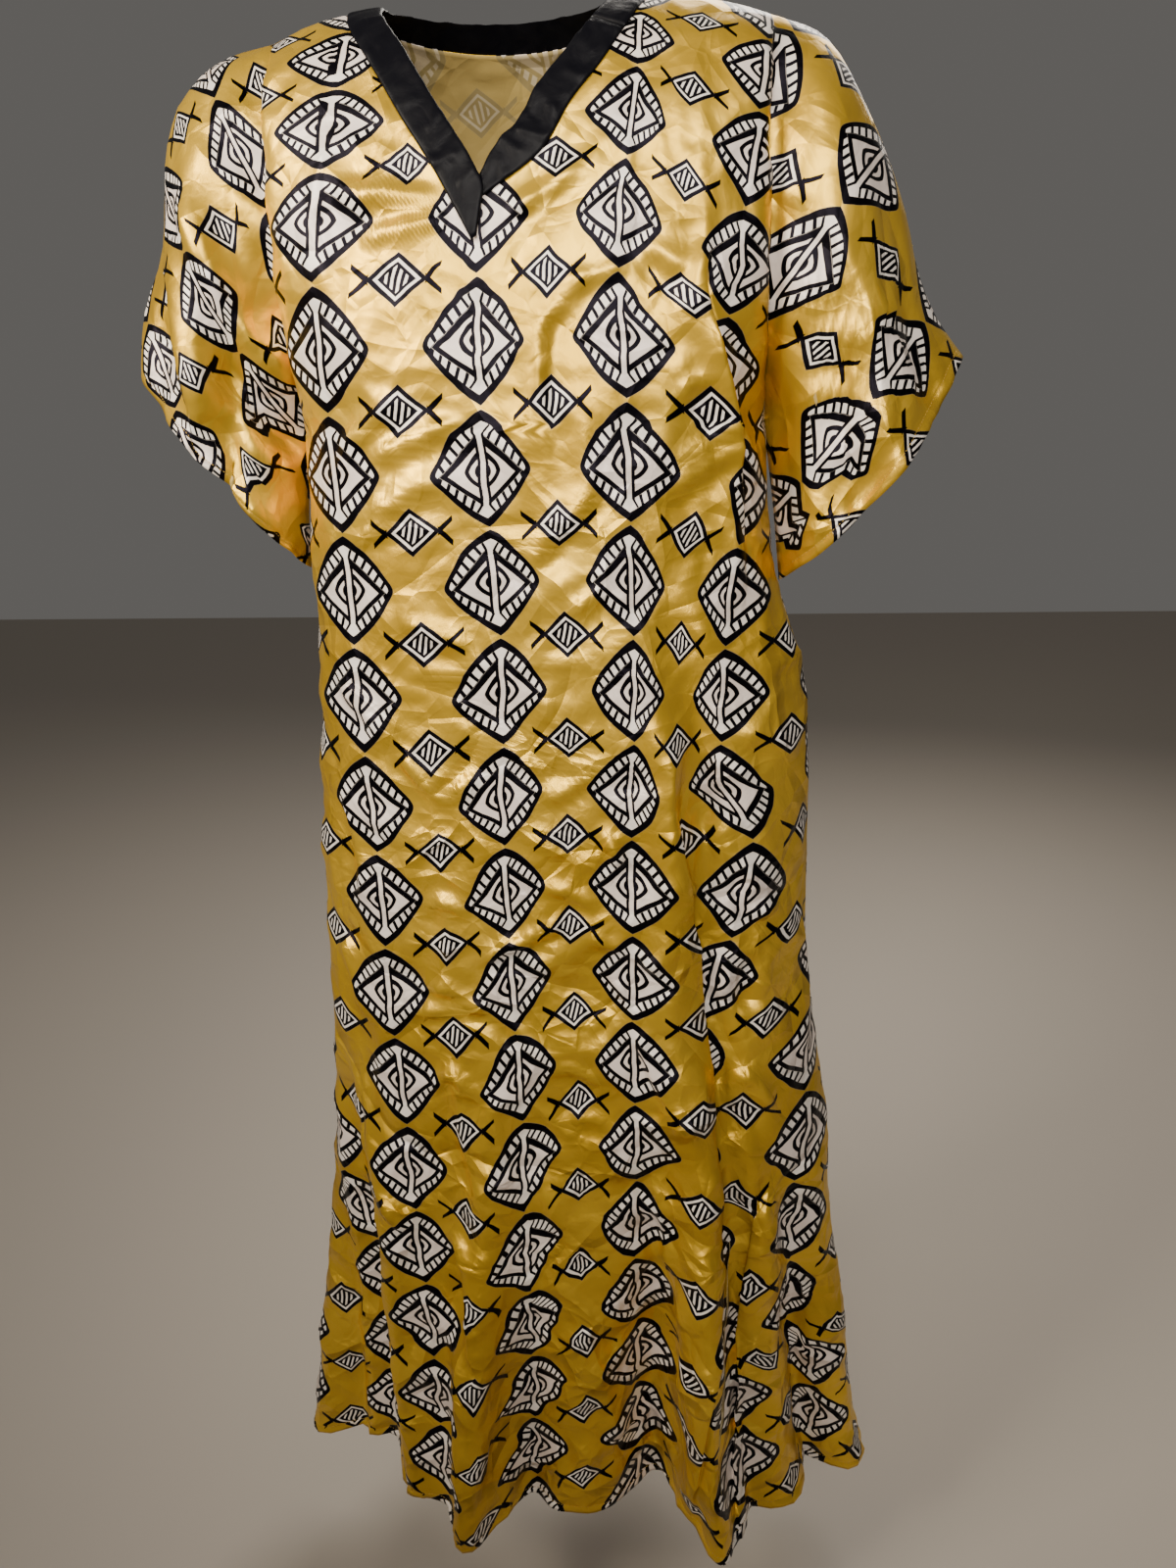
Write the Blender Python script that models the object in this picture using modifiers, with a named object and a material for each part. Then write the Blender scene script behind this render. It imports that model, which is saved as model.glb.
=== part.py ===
"""Caftan in printed satin, worn and empty: front and back panels cut in one with short
wide sleeves, and a black band round the V neck.

Metres, +Z up. The origin is where the shoulders carry it, in the middle of the shoulder
line. The front faces -Y, and +X is on the right of someone looking at the front.
"""

from collections import namedtuple

import bpy
import numpy as np

# Walls, seams and band
CLOTH_WALL = 0.0012
BAND_WALL = 0.0016
SEAM_GAP = 0.0003
BAND_WIDTH = 0.024

# Depths below the shoulder line
ARMPIT_DOWN = 0.280
HEM_DOWN = 1.260

# Rows and rings of the grids: panels, sleeves, and the band across its width
YOKE_ROWS = 9
TRUNK_ROWS = 20
SLEEVE_RINGS = 8
BAND_ROWS = 2

# Half width of the yoke at the armholes, and how far the shoulder drops there
YOKE_HALF = 0.175
YOKE_DROP = 0.014
YOKE_LEVEL_HALF = 0.100

# The sections are rounded boxes: 2 would be an ellipse
SQUARENESS = 2.3

# Side view of the yoke, from the shoulder seam (step 0) to the armpit (step 1): the height,
# how far the cloth stands from the seam plane at the middle, and how far at the armholes
Profile = namedtuple("Profile", "step height middle armhole")
FRONT_PROFILE = [
    Profile(0.00, 0.000, 0.000, 0.000),
    Profile(0.12, -0.010, 0.030, 0.022),
    Profile(0.25, -0.035, 0.056, 0.042),
    Profile(0.40, -0.080, 0.076, 0.053),
    Profile(0.60, -0.145, 0.091, 0.056),
    Profile(0.80, -0.215, 0.100, 0.042),
    Profile(1.00, -0.280, 0.103, 0.000),
]
BACK_PROFILE = [
    Profile(0.00, 0.000, 0.000, 0.000),
    Profile(0.12, -0.007, 0.032, 0.024),
    Profile(0.25, -0.026, 0.060, 0.045),
    Profile(0.40, -0.068, 0.082, 0.058),
    Profile(0.60, -0.135, 0.098, 0.060),
    Profile(0.80, -0.210, 0.104, 0.044),
    Profile(1.00, -0.280, 0.103, 0.000),
]

# Body below the armpits: half widths from X = 0, and how far front and back stand from the
# side seams, which lie at Y = 0
Section = namedtuple("Section", "down left right front back")
TRUNK = [
    Section(0.280, 0.175, 0.175, 0.103, 0.103),
    Section(0.400, 0.181, 0.188, 0.101, 0.104),
    Section(0.470, 0.183, 0.210, 0.100, 0.105),
    Section(0.540, 0.189, 0.217, 0.098, 0.107),
    Section(0.640, 0.196, 0.219, 0.096, 0.110),
    Section(0.720, 0.197, 0.221, 0.094, 0.114),
    Section(0.800, 0.201, 0.231, 0.094, 0.119),
    Section(0.870, 0.208, 0.242, 0.094, 0.123),
    Section(1.000, 0.223, 0.253, 0.096, 0.131),
    Section(1.060, 0.232, 0.263, 0.097, 0.135),
    Section(1.130, 0.246, 0.272, 0.098, 0.139),
    Section(1.200, 0.256, 0.280, 0.099, 0.143),
    Section(1.260, 0.265, 0.293, 0.100, 0.146),
]

# Folds of the skirt: where each starts and ends across the panel (0 at the left side seam,
# 1 at the right), its first and its full depth down the body, its half width across the
# panel, and how far it stands out (or in, where it is less than 0)
Fold = namedtuple("Fold", "start end first full half_width height")
FRONT_FOLDS = [
    Fold(0.06, 0.15, 0.84, 1.26, 0.055, -0.045),
    Fold(0.14, 0.25, 0.74, 1.26, 0.052, -0.056),
    Fold(0.43, 0.413, 0.70, 1.26, 0.026, 0.046),
    Fold(0.47, 0.466, 0.90, 1.26, 0.018, -0.022),
    Fold(0.61, 0.578, 0.80, 1.26, 0.040, -0.056),
    Fold(0.67, 0.640, 0.62, 1.26, 0.028, 0.046),
    Fold(0.80, 0.840, 0.78, 1.26, 0.055, -0.046),
    Fold(0.60, 0.625, 0.34, 0.60, 0.024, 0.009),
    Fold(0.665, 0.685, 0.34, 0.60, 0.028, -0.012),
    Fold(0.30, 0.28, 0.42, 0.70, 0.040, 0.007),
]
BACK_FOLDS = [
    Fold(0.15, 0.13, 0.80, 1.26, 0.035, 0.022),
    Fold(0.24, 0.23, 0.66, 1.26, 0.038, -0.034),
    Fold(0.34, 0.35, 0.58, 1.26, 0.040, 0.032),
    Fold(0.45, 0.46, 0.72, 1.26, 0.036, -0.036),
    Fold(0.55, 0.56, 0.50, 1.26, 0.038, 0.030),
    Fold(0.66, 0.67, 0.62, 1.26, 0.036, -0.034),
    Fold(0.76, 0.78, 0.70, 1.26, 0.038, 0.026),
    Fold(0.86, 0.88, 0.86, 1.26, 0.032, -0.022),
]

# Share of the panel beside each side seam where the folds fade out
SIDE_CALM = 0.04

# Sleeves: the overarm seam (x, height) from the armhole to the cuff, the underarm seam, and
# how far the cloth stands off them at the front and back
Seam = namedtuple("Seam", "along x height")
OVERARM = {
    -1: [
        Seam(0.00, -0.175, -0.014),
        Seam(0.18, -0.223, -0.026),
        Seam(0.32, -0.252, -0.052),
        Seam(0.50, -0.270, -0.099),
        Seam(0.68, -0.280, -0.148),
        Seam(0.84, -0.301, -0.191),
        Seam(1.00, -0.310, -0.235),
    ],
    1: [
        Seam(0.00, 0.175, -0.014),
        Seam(0.16, 0.212, -0.029),
        Seam(0.36, 0.245, -0.078),
        Seam(0.62, 0.274, -0.145),
        Seam(0.76, 0.284, -0.181),
        Seam(0.90, 0.301, -0.216),
        Seam(1.00, 0.320, -0.240),
    ],
}
UNDERARM = {
    -1: [
        Seam(0.00, -0.175, -0.280),
        Seam(0.50, -0.190, -0.338),
        Seam(1.00, -0.196, -0.388),
    ],
    1: [
        Seam(0.00, 0.175, -0.280),
        Seam(0.50, 0.192, -0.344),
        Seam(1.00, 0.204, -0.402),
    ],
}
SLEEVE_STAND = 0.068
CUFF_STAND = 0.060
RING_POWER = 0.75

# Share of the sleeve over which it leaves the armhole's shape, and how far each cuff edge
# bows outwards, by hand and side
SLEEVE_RISE = 0.36
CUFF_BOW = {(-1, -1): 0.003, (-1, 1): 0.020, (1, -1): 0.011, (1, 1): 0.012}

# Sleeve folds run from the shoulder to the cuff: place between overarm and underarm, half
# width there, and height
SleeveFold = namedtuple("SleeveFold", "place half_width height")
SLEEVE_FOLDS = [
    SleeveFold(0.20, 0.070, -0.009),
    SleeveFold(0.42, 0.090, 0.009),
    SleeveFold(0.62, 0.070, -0.010),
    SleeveFold(0.82, 0.080, 0.007),
]

# Neckline, as places across the yoke and steps down its profile. The panels end on it and
# the band goes on from there. Front: left corner, notch of the V, right corner
Neck = namedtuple("Neck", "x step")
NECK_LEFT = [
    Neck(-0.118, 0.000),
    Neck(-0.114, 0.143),
    Neck(-0.076, 0.380),
    Neck(-0.046, 0.525),
    Neck(-0.033, 0.595),
]
NECK_RIGHT = [
    Neck(-0.033, 0.595),
    Neck(-0.008, 0.550),
    Neck(0.025, 0.478),
    Neck(0.042, 0.390),
    Neck(0.062, 0.314),
    Neck(0.089, 0.113),
    Neck(0.094, 0.000),
]
BACK_NECK_STEP = 0.20

# Cloth along the yoke for one step of its profile, which spaces the columns evenly
STEP_LENGTH = 0.30

# Columns of the panels between the armholes, the corners of the neck and the notch
COLUMNS = (7, 12, 14, 7)

# Ends of the band: how far the lapped point passes the notch, how long it tapers and lifts,
# and where the join on the right lies along that side
POINT_STEP = 0.052
POINT_ROWS = 3
POINT_TAPER = 0.026
POINT_TIP = 0.003
LAP_LENGTH = 0.052
LAP_LIFT = 0.0024
LIFT_LENGTH = 0.024
JOIN_SHARE = 0.72
SHORT_END_WIDTH = 0.005
SHORT_TAPER = 0.050

# Reading the cloth's slope beside the neckline, and evening it out along the band
PROBE = 0.004
NORMAL_ROUNDS = 3
CORNER_STEP = 0.001

# Colour and roughness of the printed satin and of the black band
Finish = namedtuple("Finish", "colour roughness")
GOLD_SATIN = Finish((0.62, 0.37, 0.07, 1.0), 0.35)
BLACK_SATIN = Finish((0.010, 0.009, 0.011, 1.0), 0.40)


def smooth_value(keys, values, wanted):
    """Cubic curve through a table, which doesn't swing past its neighbours much."""
    keys = np.asarray(keys, dtype=float)
    values = np.asarray(values, dtype=float)
    wanted = np.clip(np.asarray(wanted, dtype=float), keys[0], keys[-1])
    steps = np.diff(keys)
    rises = np.diff(values) / steps
    slopes = np.empty_like(values)
    slopes[0] = rises[0]
    slopes[-1] = rises[-1]
    slopes[1:-1] = (rises[:-1] * steps[1:] + rises[1:] * steps[:-1]) / (steps[:-1] + steps[1:])
    place = np.clip(np.searchsorted(keys, wanted, side="right") - 1, 0, len(steps) - 1)
    width = steps[place]
    t = (wanted - keys[place]) / width
    start = values[place] * (1 + 2 * t) * (1 - t) ** 2 + slopes[place] * width * t * (1 - t) ** 2
    finish = values[place + 1] * t * t * (3 - 2 * t) - slopes[place + 1] * width * t * t * (1 - t)
    return start + finish


def column_of(table, key, name, wanted):
    """Read one named column of a table at the wanted places of its key column."""
    return smooth_value([getattr(row, key) for row in table],
                        [getattr(row, name) for row in table], wanted)


def ease(value):
    """Smooth step from 0 to 1."""
    value = np.clip(value, 0.0, 1.0)
    return value * value * (3.0 - 2.0 * value)


def signed_power(value, power):
    """Power of the size of a value, with its sign kept."""
    return np.sign(value) * np.abs(value) ** power


def across_to_x(across):
    """Place across the panel (0 to 1) to X in the yoke."""
    return -YOKE_HALF * signed_power(np.cos(np.pi * across), 2.0 / SQUARENESS)


def yoke_points(side, x, step):
    """Cloth over the shoulders and chest (side -1) or upper back (side 1)."""
    profile = FRONT_PROFILE if side < 0 else BACK_PROFILE
    x, step = np.broadcast_arrays(np.asarray(x, dtype=float), np.asarray(step, dtype=float))
    middle = column_of(profile, "step", "middle", step)
    armhole = column_of(profile, "step", "armhole", step)
    round_off = np.clip(1.0 - np.abs(x / YOKE_HALF) ** SQUARENESS, 0.0, 1.0) ** (1.0 / SQUARENESS)
    past_level = np.clip((np.abs(x) - YOKE_LEVEL_HALF) / (YOKE_HALF - YOKE_LEVEL_HALF), 0.0, 1.0)
    height = column_of(profile, "step", "height", step)
    height = height - YOKE_DROP * past_level ** 2 * (1.0 - step)
    depth = armhole + (middle - armhole) * round_off
    return np.stack([x, side * (depth + SEAM_GAP / 2), height], axis=-1)


def trunk_points(side, across, down):
    """Body below the armpits, with the folds of the skirt."""
    across, down = np.broadcast_arrays(np.asarray(across, dtype=float), np.asarray(down, dtype=float))
    left = column_of(TRUNK, "down", "left", down)
    right = column_of(TRUNK, "down", "right", down)
    stand = column_of(TRUNK, "down", "front" if side < 0 else "back", down)
    middle = (right - left) / 2
    half = (right + left) / 2
    turn = np.pi * across
    share_x = -signed_power(np.cos(turn), 2.0 / SQUARENESS)
    share_y = np.abs(np.sin(turn)) ** (2.0 / SQUARENESS)
    normal_x = signed_power(share_x, SQUARENESS - 1) / half
    normal_y = side * share_y ** (SQUARENESS - 1) / stand
    size = np.hypot(normal_x, normal_y)
    lift = fold_lift(FRONT_FOLDS if side < 0 else BACK_FOLDS, across, down)
    lift = lift * ease(np.minimum(across, 1 - across) / SIDE_CALM)
    x = middle + half * share_x + lift * normal_x / size
    y = side * (stand * share_y + SEAM_GAP / 2) + lift * normal_y / size
    return np.stack([x, y, -down], axis=-1)


def fold_lift(folds, across, down):
    """How far the folds move the cloth out at each place."""
    lift = np.zeros(np.broadcast(across, down).shape)
    for fold in folds:
        grown = ease((down - fold.first) / (fold.full - fold.first))
        centre = fold.start + (fold.end - fold.start) * grown
        lift = lift + fold.height * grown * np.exp(-((across - centre) / fold.half_width) ** 2)
    return lift


def sleeve_points(side, hand, along, place):
    """Sleeve on one hand (-1 left, 1 right), along from the armhole to the cuff, and placed
    from the overarm seam (0) to the underarm seam (1)."""
    along, place = np.broadcast_arrays(np.asarray(along, dtype=float), np.asarray(place, dtype=float))
    over_x = column_of(OVERARM[hand], "along", "x", along)
    over_z = column_of(OVERARM[hand], "along", "height", along)
    under_x = column_of(UNDERARM[hand], "along", "x", along)
    under_z = column_of(UNDERARM[hand], "along", "height", along)
    armhole = yoke_points(side, hand * YOKE_HALF, place)
    armhole_share = (armhole[..., 2] + YOKE_DROP) / (YOKE_DROP - ARMPIT_DOWN)
    share = armhole_share * (1 - along) + place * along
    x = over_x + (under_x - over_x) * share
    z = over_z + (under_z - over_z) * share
    chord = np.hypot(under_x - over_x, under_z - over_z)
    bow = CUFF_BOW[hand, side] * along * np.sin(np.pi * place)
    x = x - bow * (under_z - over_z) / chord * hand
    z = z + bow * (under_x - over_x) / chord * hand
    stand = (SLEEVE_STAND + (CUFF_STAND - SLEEVE_STAND) * along) * np.sin(np.pi * place) ** RING_POWER
    for fold in SLEEVE_FOLDS:
        near = np.exp(-((place - fold.place) / fold.half_width) ** 2)
        stand = stand + fold.height * ease(along) * near
    rise = ease(along / SLEEVE_RISE)
    depth = (np.abs(armhole[..., 1]) - SEAM_GAP / 2) * (1 - rise) + np.maximum(stand, 0.0) * rise
    return np.stack([x, side * (depth + SEAM_GAP / 2), z], axis=-1)


def neck_curve(table, count):
    """Neckline stretch as evenly spaced rows of (x, step)."""
    x = np.array([row.x for row in table])
    step = np.array([row.step for row in table])
    length = np.concatenate([[0.0], np.cumsum(np.hypot(np.diff(x), STEP_LENGTH * np.diff(step)))])
    wanted = np.linspace(0.0, length[-1], count + 1)
    return np.stack([smooth_value(length, x, wanted), smooth_value(length, step, wanted)], axis=-1)


def panel_top(side):
    """Top edge of a panel, one (x, step) for each column: shoulder, neckline, shoulder."""
    left, right = NECK_LEFT[0].x, NECK_RIGHT[-1].x
    if side < 0:
        neck = np.concatenate([neck_curve(NECK_LEFT, COLUMNS[1]), neck_curve(NECK_RIGHT, COLUMNS[2])[1:]])
    else:
        turn = np.linspace(0.0, np.pi, COLUMNS[1] + COLUMNS[2] + 1)
        x = (left + right) / 2 - (right - left) / 2 * np.cos(turn)
        neck = np.stack([x, BACK_NECK_STEP * np.sin(turn)], axis=-1)
    shoulders = [
        np.stack([np.linspace(start, finish, count + 1), np.zeros(count + 1)], axis=-1)
        for start, finish, count in ((-YOKE_HALF, left, COLUMNS[0]), (right, YOKE_HALF, COLUMNS[3]))
    ]
    return np.concatenate([shoulders[0][:-1], neck, shoulders[1][1:]])


def grid_faces(index):
    """Quads of a grid of point numbers."""
    rows, columns = index.shape
    return [
        (int(index[r, c]), int(index[r + 1, c]), int(index[r + 1, c + 1]), int(index[r, c + 1]))
        for r in range(rows - 1)
        for c in range(columns - 1)
    ]


def panel_mesh(side):
    """One panel: yoke, body and both half sleeves in one open surface."""
    top = panel_top(side)
    across = np.linspace(0.0, 1.0, len(top))
    rows = np.linspace(0.0, 1.0, YOKE_ROWS + 1)[:, None]
    x = top[:, 0] + (across_to_x(across) - top[:, 0]) * ease(rows)
    yoke = yoke_points(side, x, top[:, 1] + (1 - top[:, 1]) * rows)
    down = np.linspace(ARMPIT_DOWN, HEM_DOWN, TRUNK_ROWS + 1)[1:, None]
    trunk = trunk_points(side, across[None, :], down)
    body = np.concatenate([yoke, trunk], axis=0)
    index = np.arange(body.shape[0] * body.shape[1]).reshape(body.shape[:2])
    points = [body.reshape(-1, 3)]
    faces = grid_faces(index)
    count = index.size
    for hand, edge in ((-1, 0), (1, -1)):
        along = np.linspace(0.0, 1.0, SLEEVE_RINGS + 1)[None, 1:]
        sleeve = sleeve_points(side, hand, along, rows)
        sleeve_index = count + np.arange(sleeve.shape[0] * sleeve.shape[1]).reshape(sleeve.shape[:2])
        count += sleeve_index.size
        points.append(sleeve.reshape(-1, 3))
        joined = np.concatenate([index[:YOKE_ROWS + 1, edge][:, None], sleeve_index], axis=1)
        faces += grid_faces(joined if hand > 0 else joined[:, ::-1])
    if side > 0:
        faces = [face[::-1] for face in faces]
    return np.concatenate(points, axis=0), faces


def path_lengths(points):
    """Length along a path up to each of its points."""
    return np.concatenate([[0.0], np.cumsum(np.linalg.norm(np.diff(points, axis=0), axis=1))])


def resampled(rows, lengths, wanted):
    """The columns of a path's rows, read at one length along it."""
    return np.array([np.interp(wanted, lengths, rows[:, k]) for k in range(rows.shape[1])])


def neck_route():
    """Neckline from the notch up the left front, round the back and down the right front:
    the panels' own points there, and the outward direction of the cloth at each."""
    first, notch, last = COLUMNS[0], sum(COLUMNS[:2]), sum(COLUMNS[:3])
    stretches = [
        (-1, panel_top(-1)[first:notch + 1][::-1]),
        (1, panel_top(1)[first:last + 1]),
        (-1, panel_top(-1)[notch:last + 1][::-1]),
    ]
    points, normals = [], []
    for side, places in stretches:
        x, step = places[:, 0], places[:, 1]
        lower = yoke_points(side, x, step + PROBE)
        beside = yoke_points(side, x + PROBE * YOKE_HALF, step)
        here = yoke_points(side, x, step)
        normal = np.cross(lower - here, beside - here) * -side
        points.append(here)
        normals.append(normal / np.linalg.norm(normal, axis=1, keepdims=True))
    return np.concatenate(points), np.concatenate(normals), [len(p) for p in points]


def strip_mesh(edge, normal, widths, lifts):
    """Band along its outer edge, reaching inwards over the cloth's own slope."""
    tangent = np.gradient(edge, axis=0)
    inwards = np.cross(tangent, normal)
    inwards /= np.linalg.norm(inwards, axis=1, keepdims=True)
    edge = edge + normal * lifts[:, None] + inwards * SEAM_GAP
    shares = np.linspace(0.0, 1.0, BAND_ROWS + 1)[:, None, None]
    points = edge[None] + inwards[None] * widths[None, :, None] * shares
    index = np.arange(points.shape[0] * points.shape[1]).reshape(points.shape[:2])
    return points.reshape(-1, 3), grid_faces(index)


def make_object(name, points, faces, wall, finish, collection):
    """One piece of cloth: its open surface with a wall on the outer side."""
    mesh = bpy.data.meshes.new(name)
    mesh.from_pydata([tuple(p) for p in points.tolist()], [], faces)
    mesh.validate()
    mesh.shade_smooth()
    material = bpy.data.materials.new(name + "_cloth")
    material.use_nodes = True
    shader = material.node_tree.nodes["Principled BSDF"]
    shader.inputs["Base Color"].default_value = finish.colour
    shader.inputs["Roughness"].default_value = finish.roughness
    shader.inputs["Metallic"].default_value = 0.0
    mesh.materials.append(material)
    cloth = bpy.data.objects.new(name, mesh)
    collection.objects.link(cloth)
    solid = cloth.modifiers.new("Cloth wall", "SOLIDIFY")
    solid.thickness = wall
    solid.offset = 1.0
    return cloth


def band_meshes():
    """The long and the short strip of the band, each as an open surface."""
    route, normals, counts = neck_route()
    edge_keep = np.concatenate([[True], np.linalg.norm(np.diff(route, axis=0), axis=1) > CORNER_STEP])
    route, normals = route[edge_keep], normals[edge_keep]
    for _ in range(NORMAL_ROUNDS):
        normals[1:-1] = (normals[:-2] + 2 * normals[1:-1] + normals[2:]) / 4
    normals /= np.linalg.norm(normals, axis=1, keepdims=True)
    lengths = path_lengths(route)
    right_length = lengths[-1] - lengths[len(route) - counts[2]]
    join = lengths[-1] - JOIN_SHARE * right_length

    to_notch = (NECK_LEFT[-1].x - NECK_LEFT[-2].x) / (NECK_LEFT[-1].step - NECK_LEFT[-2].step)
    reach_step = POINT_STEP * np.arange(POINT_ROWS, 0, -1) / POINT_ROWS
    point_x = NECK_LEFT[-1].x + to_notch * reach_step
    point = yoke_points(-1, point_x, NECK_LEFT[-1].step + reach_step)
    long_edge = np.concatenate([point, route])
    long_normal = np.concatenate([np.repeat(normals[:1], POINT_ROWS, axis=0), normals])
    from_tip = path_lengths(long_edge)
    end = from_tip[POINT_ROWS] + join
    kept = from_tip < end - CORNER_STEP
    last = resampled(np.column_stack([long_edge, long_normal]), from_tip, end - SEAM_GAP / 2)
    long_edge = np.vstack([long_edge[kept], last[:3]])
    long_normal = np.vstack([long_normal[kept], last[3:]])
    from_tip = path_lengths(long_edge)
    widths = POINT_TIP + (BAND_WIDTH - POINT_TIP) * np.clip(from_tip / POINT_TAPER, 0.0, 1.0)
    lifts = LAP_LIFT * (1 - ease((from_tip - LAP_LENGTH) / LIFT_LENGTH))
    long_strip = strip_mesh(long_edge, long_normal, widths, lifts)

    kept = lengths > join + CORNER_STEP
    kept[-1] = False
    first = resampled(np.column_stack([route, normals]), lengths, join + SEAM_GAP / 2)
    short_edge = np.vstack([first[:3], route[kept]])
    short_normal = np.vstack([first[3:], normals[kept]])
    to_end = path_lengths(short_edge)[-1] - path_lengths(short_edge)
    widths = SHORT_END_WIDTH + (BAND_WIDTH - SHORT_END_WIDTH) * ease(to_end / SHORT_TAPER)
    short_strip = strip_mesh(short_edge, short_normal, widths, np.zeros(len(to_end)))
    return {"neckband_long": long_strip, "neckband_short": short_strip}


for old in list(bpy.data.objects):
    bpy.data.objects.remove(old, do_unlink=True)
caftan = bpy.data.collections.new("Caftan")
bpy.context.scene.collection.children.link(caftan)
for node, panel_side in (("front_panel", -1), ("back_panel", 1)):
    panel_points, panel_faces = panel_mesh(panel_side)
    make_object(node, panel_points, panel_faces, CLOTH_WALL, GOLD_SATIN, caftan)
for node, (strip_points, strip_faces) in band_meshes().items():
    make_object(node, strip_points, strip_faces, BAND_WALL, BLACK_SATIN, caftan)
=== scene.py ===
"""Caftan in gold printed satin, worn and empty: the looks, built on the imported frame.

Metres, +Z up. The front faces -Y and the origin is in the middle of the shoulder line.
"""

import math
from collections import namedtuple
from functools import partial

import bmesh
import bpy
import numpy as np
from mathutils import Matrix, Vector, noise


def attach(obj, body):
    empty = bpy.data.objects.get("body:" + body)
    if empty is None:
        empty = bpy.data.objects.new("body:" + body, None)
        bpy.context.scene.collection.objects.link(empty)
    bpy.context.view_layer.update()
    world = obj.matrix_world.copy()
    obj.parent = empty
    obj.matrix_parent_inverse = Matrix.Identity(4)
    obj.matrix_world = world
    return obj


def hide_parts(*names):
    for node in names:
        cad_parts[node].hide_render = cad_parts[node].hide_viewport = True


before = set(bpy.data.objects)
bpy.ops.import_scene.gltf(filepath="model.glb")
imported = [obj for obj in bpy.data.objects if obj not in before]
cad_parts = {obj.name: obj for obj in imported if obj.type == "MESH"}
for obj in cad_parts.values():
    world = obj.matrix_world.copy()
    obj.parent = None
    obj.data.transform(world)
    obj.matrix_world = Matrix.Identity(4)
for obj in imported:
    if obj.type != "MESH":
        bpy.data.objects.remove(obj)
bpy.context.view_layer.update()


# The view: a camera held at chest height close in front, tipped down and turned a little,
# with the lens of a phone. Pale floor 15 cm below the hem and soft lights, as in a studio.
LENS = 27.0
SENSOR = 36.0
TILT_DOWN = math.radians(17.4)
TURN = math.radians(6.0)
LEAN = math.radians(-1.4)
DISTANCE = 0.95
ASIDE = 0.035
EYE_HEIGHT = -0.275

forward = Vector((
    -math.sin(TURN) * math.cos(TILT_DOWN),
    math.cos(TURN) * math.cos(TILT_DOWN),
    -math.sin(TILT_DOWN),
))
level = forward.cross(Vector((0, 0, 1))).normalized()
upward = level.cross(forward)


def add_object(name, data):
    """A new object in the scene, at the origin."""
    made = bpy.data.objects.new(name, data)
    bpy.context.scene.collection.objects.link(made)
    return made


def new_material(name):
    """A material made of nodes, and its shader."""
    material = bpy.data.materials.new(name)
    material.use_nodes = True
    return material, material.node_tree.nodes["Principled BSDF"]


camera = add_object("camera", bpy.data.cameras.new("camera"))
camera.data.lens = LENS
camera.data.sensor_width = SENSOR
rightward = math.cos(LEAN) * level + math.sin(LEAN) * upward
leaned_up = math.cos(LEAN) * upward - math.sin(LEAN) * level
camera.matrix_world = Matrix((rightward, leaned_up, -forward)).transposed().to_4x4()
camera.location = (
    ASIDE * math.cos(TURN) + DISTANCE * math.sin(TURN),
    ASIDE * math.sin(TURN) - DISTANCE * math.cos(TURN),
    EYE_HEIGHT,
)
bpy.context.scene.camera = camera

FLOOR_HEIGHT = -1.41
FLOOR_SIZE = 12.0
floor_mesh = bpy.data.meshes.new("floor")
reach = FLOOR_SIZE / 2
corners = ((-reach, -reach), (reach, -reach), (reach, reach), (-reach, reach))
floor_mesh.from_pydata([(x, y, FLOOR_HEIGHT) for x, y in corners], [], [(0, 1, 2, 3)])
floor = add_object("floor", floor_mesh)
floor_paint, floor_shader = new_material("floor_paint")
floor_shader.inputs["Base Color"].default_value = (0.50, 0.45, 0.39, 1)
floor_shader.inputs["Roughness"].default_value = 0.85
floor_mesh.materials.append(floor_paint)

Light = namedtuple("Light", "name place aim width height spread power colour")
LIGHTS = [
    Light("key", (-0.95, -0.95, 0.30), (0.0, 0.0, -0.30), 0.5, 0.5, 80, 5.6, (1.0, 0.90, 0.75)),
    Light("front", (0.10, -1.90, 0.50), (0.0, 0.0, -0.20), 0.9, 1.0, 64, 6.6, (1.0, 0.93, 0.84)),
    Light("back", (0.5, 1.8, 1.2), (0.0, 0.0, -0.5), 1.4, 1.4, 160, 36.0, (1.0, 0.94, 0.86)),
]
for row in LIGHTS:
    lamp = bpy.data.lights.new(row.name, "AREA")
    lamp.shape = "RECTANGLE"
    lamp.size = row.width
    lamp.size_y = row.height
    lamp.spread = math.radians(row.spread)
    lamp.energy = row.power
    lamp.color = row.colour
    light = add_object(row.name, lamp)
    light.location = row.place
    light.rotation_mode = "QUATERNION"
    light.rotation_quaternion = (Vector(row.aim) - Vector(row.place)).to_track_quat("-Z", "Y")
room = bpy.data.worlds.new("room")
room.use_nodes = True
room.node_tree.nodes["Background"].inputs["Color"].default_value = (0.86, 0.82, 0.77, 1)
room.node_tree.nodes["Background"].inputs["Strength"].default_value = 0.14
bpy.context.scene.world = room


# Printed satin: thin polyester with a gold ground, printed on the right side in cream and
# black with rows of shields, and small hatched diamonds between them. Drawn here from its
# own sizes in millimetres, along the cloth's own threads.
REPEAT_ACROSS = 114.0
REPEAT_DOWN = 82.0
PRINT_SWAY = 2.2
WARP_PITCH = 0.42
WEFT_PITCH = 0.55
GOLD = (0.82, 0.52, 0.050, 1)
GOLD_DEEP = (0.64, 0.385, 0.028, 1)
CREAM = (0.93, 0.86, 0.79, 1)
CREAM_WARM = (0.86, 0.75, 0.68, 1)
INK = (0.006, 0.005, 0.008, 1)
WRONG_SIDE = (0.40, 0.31, 0.13, 1)


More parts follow.
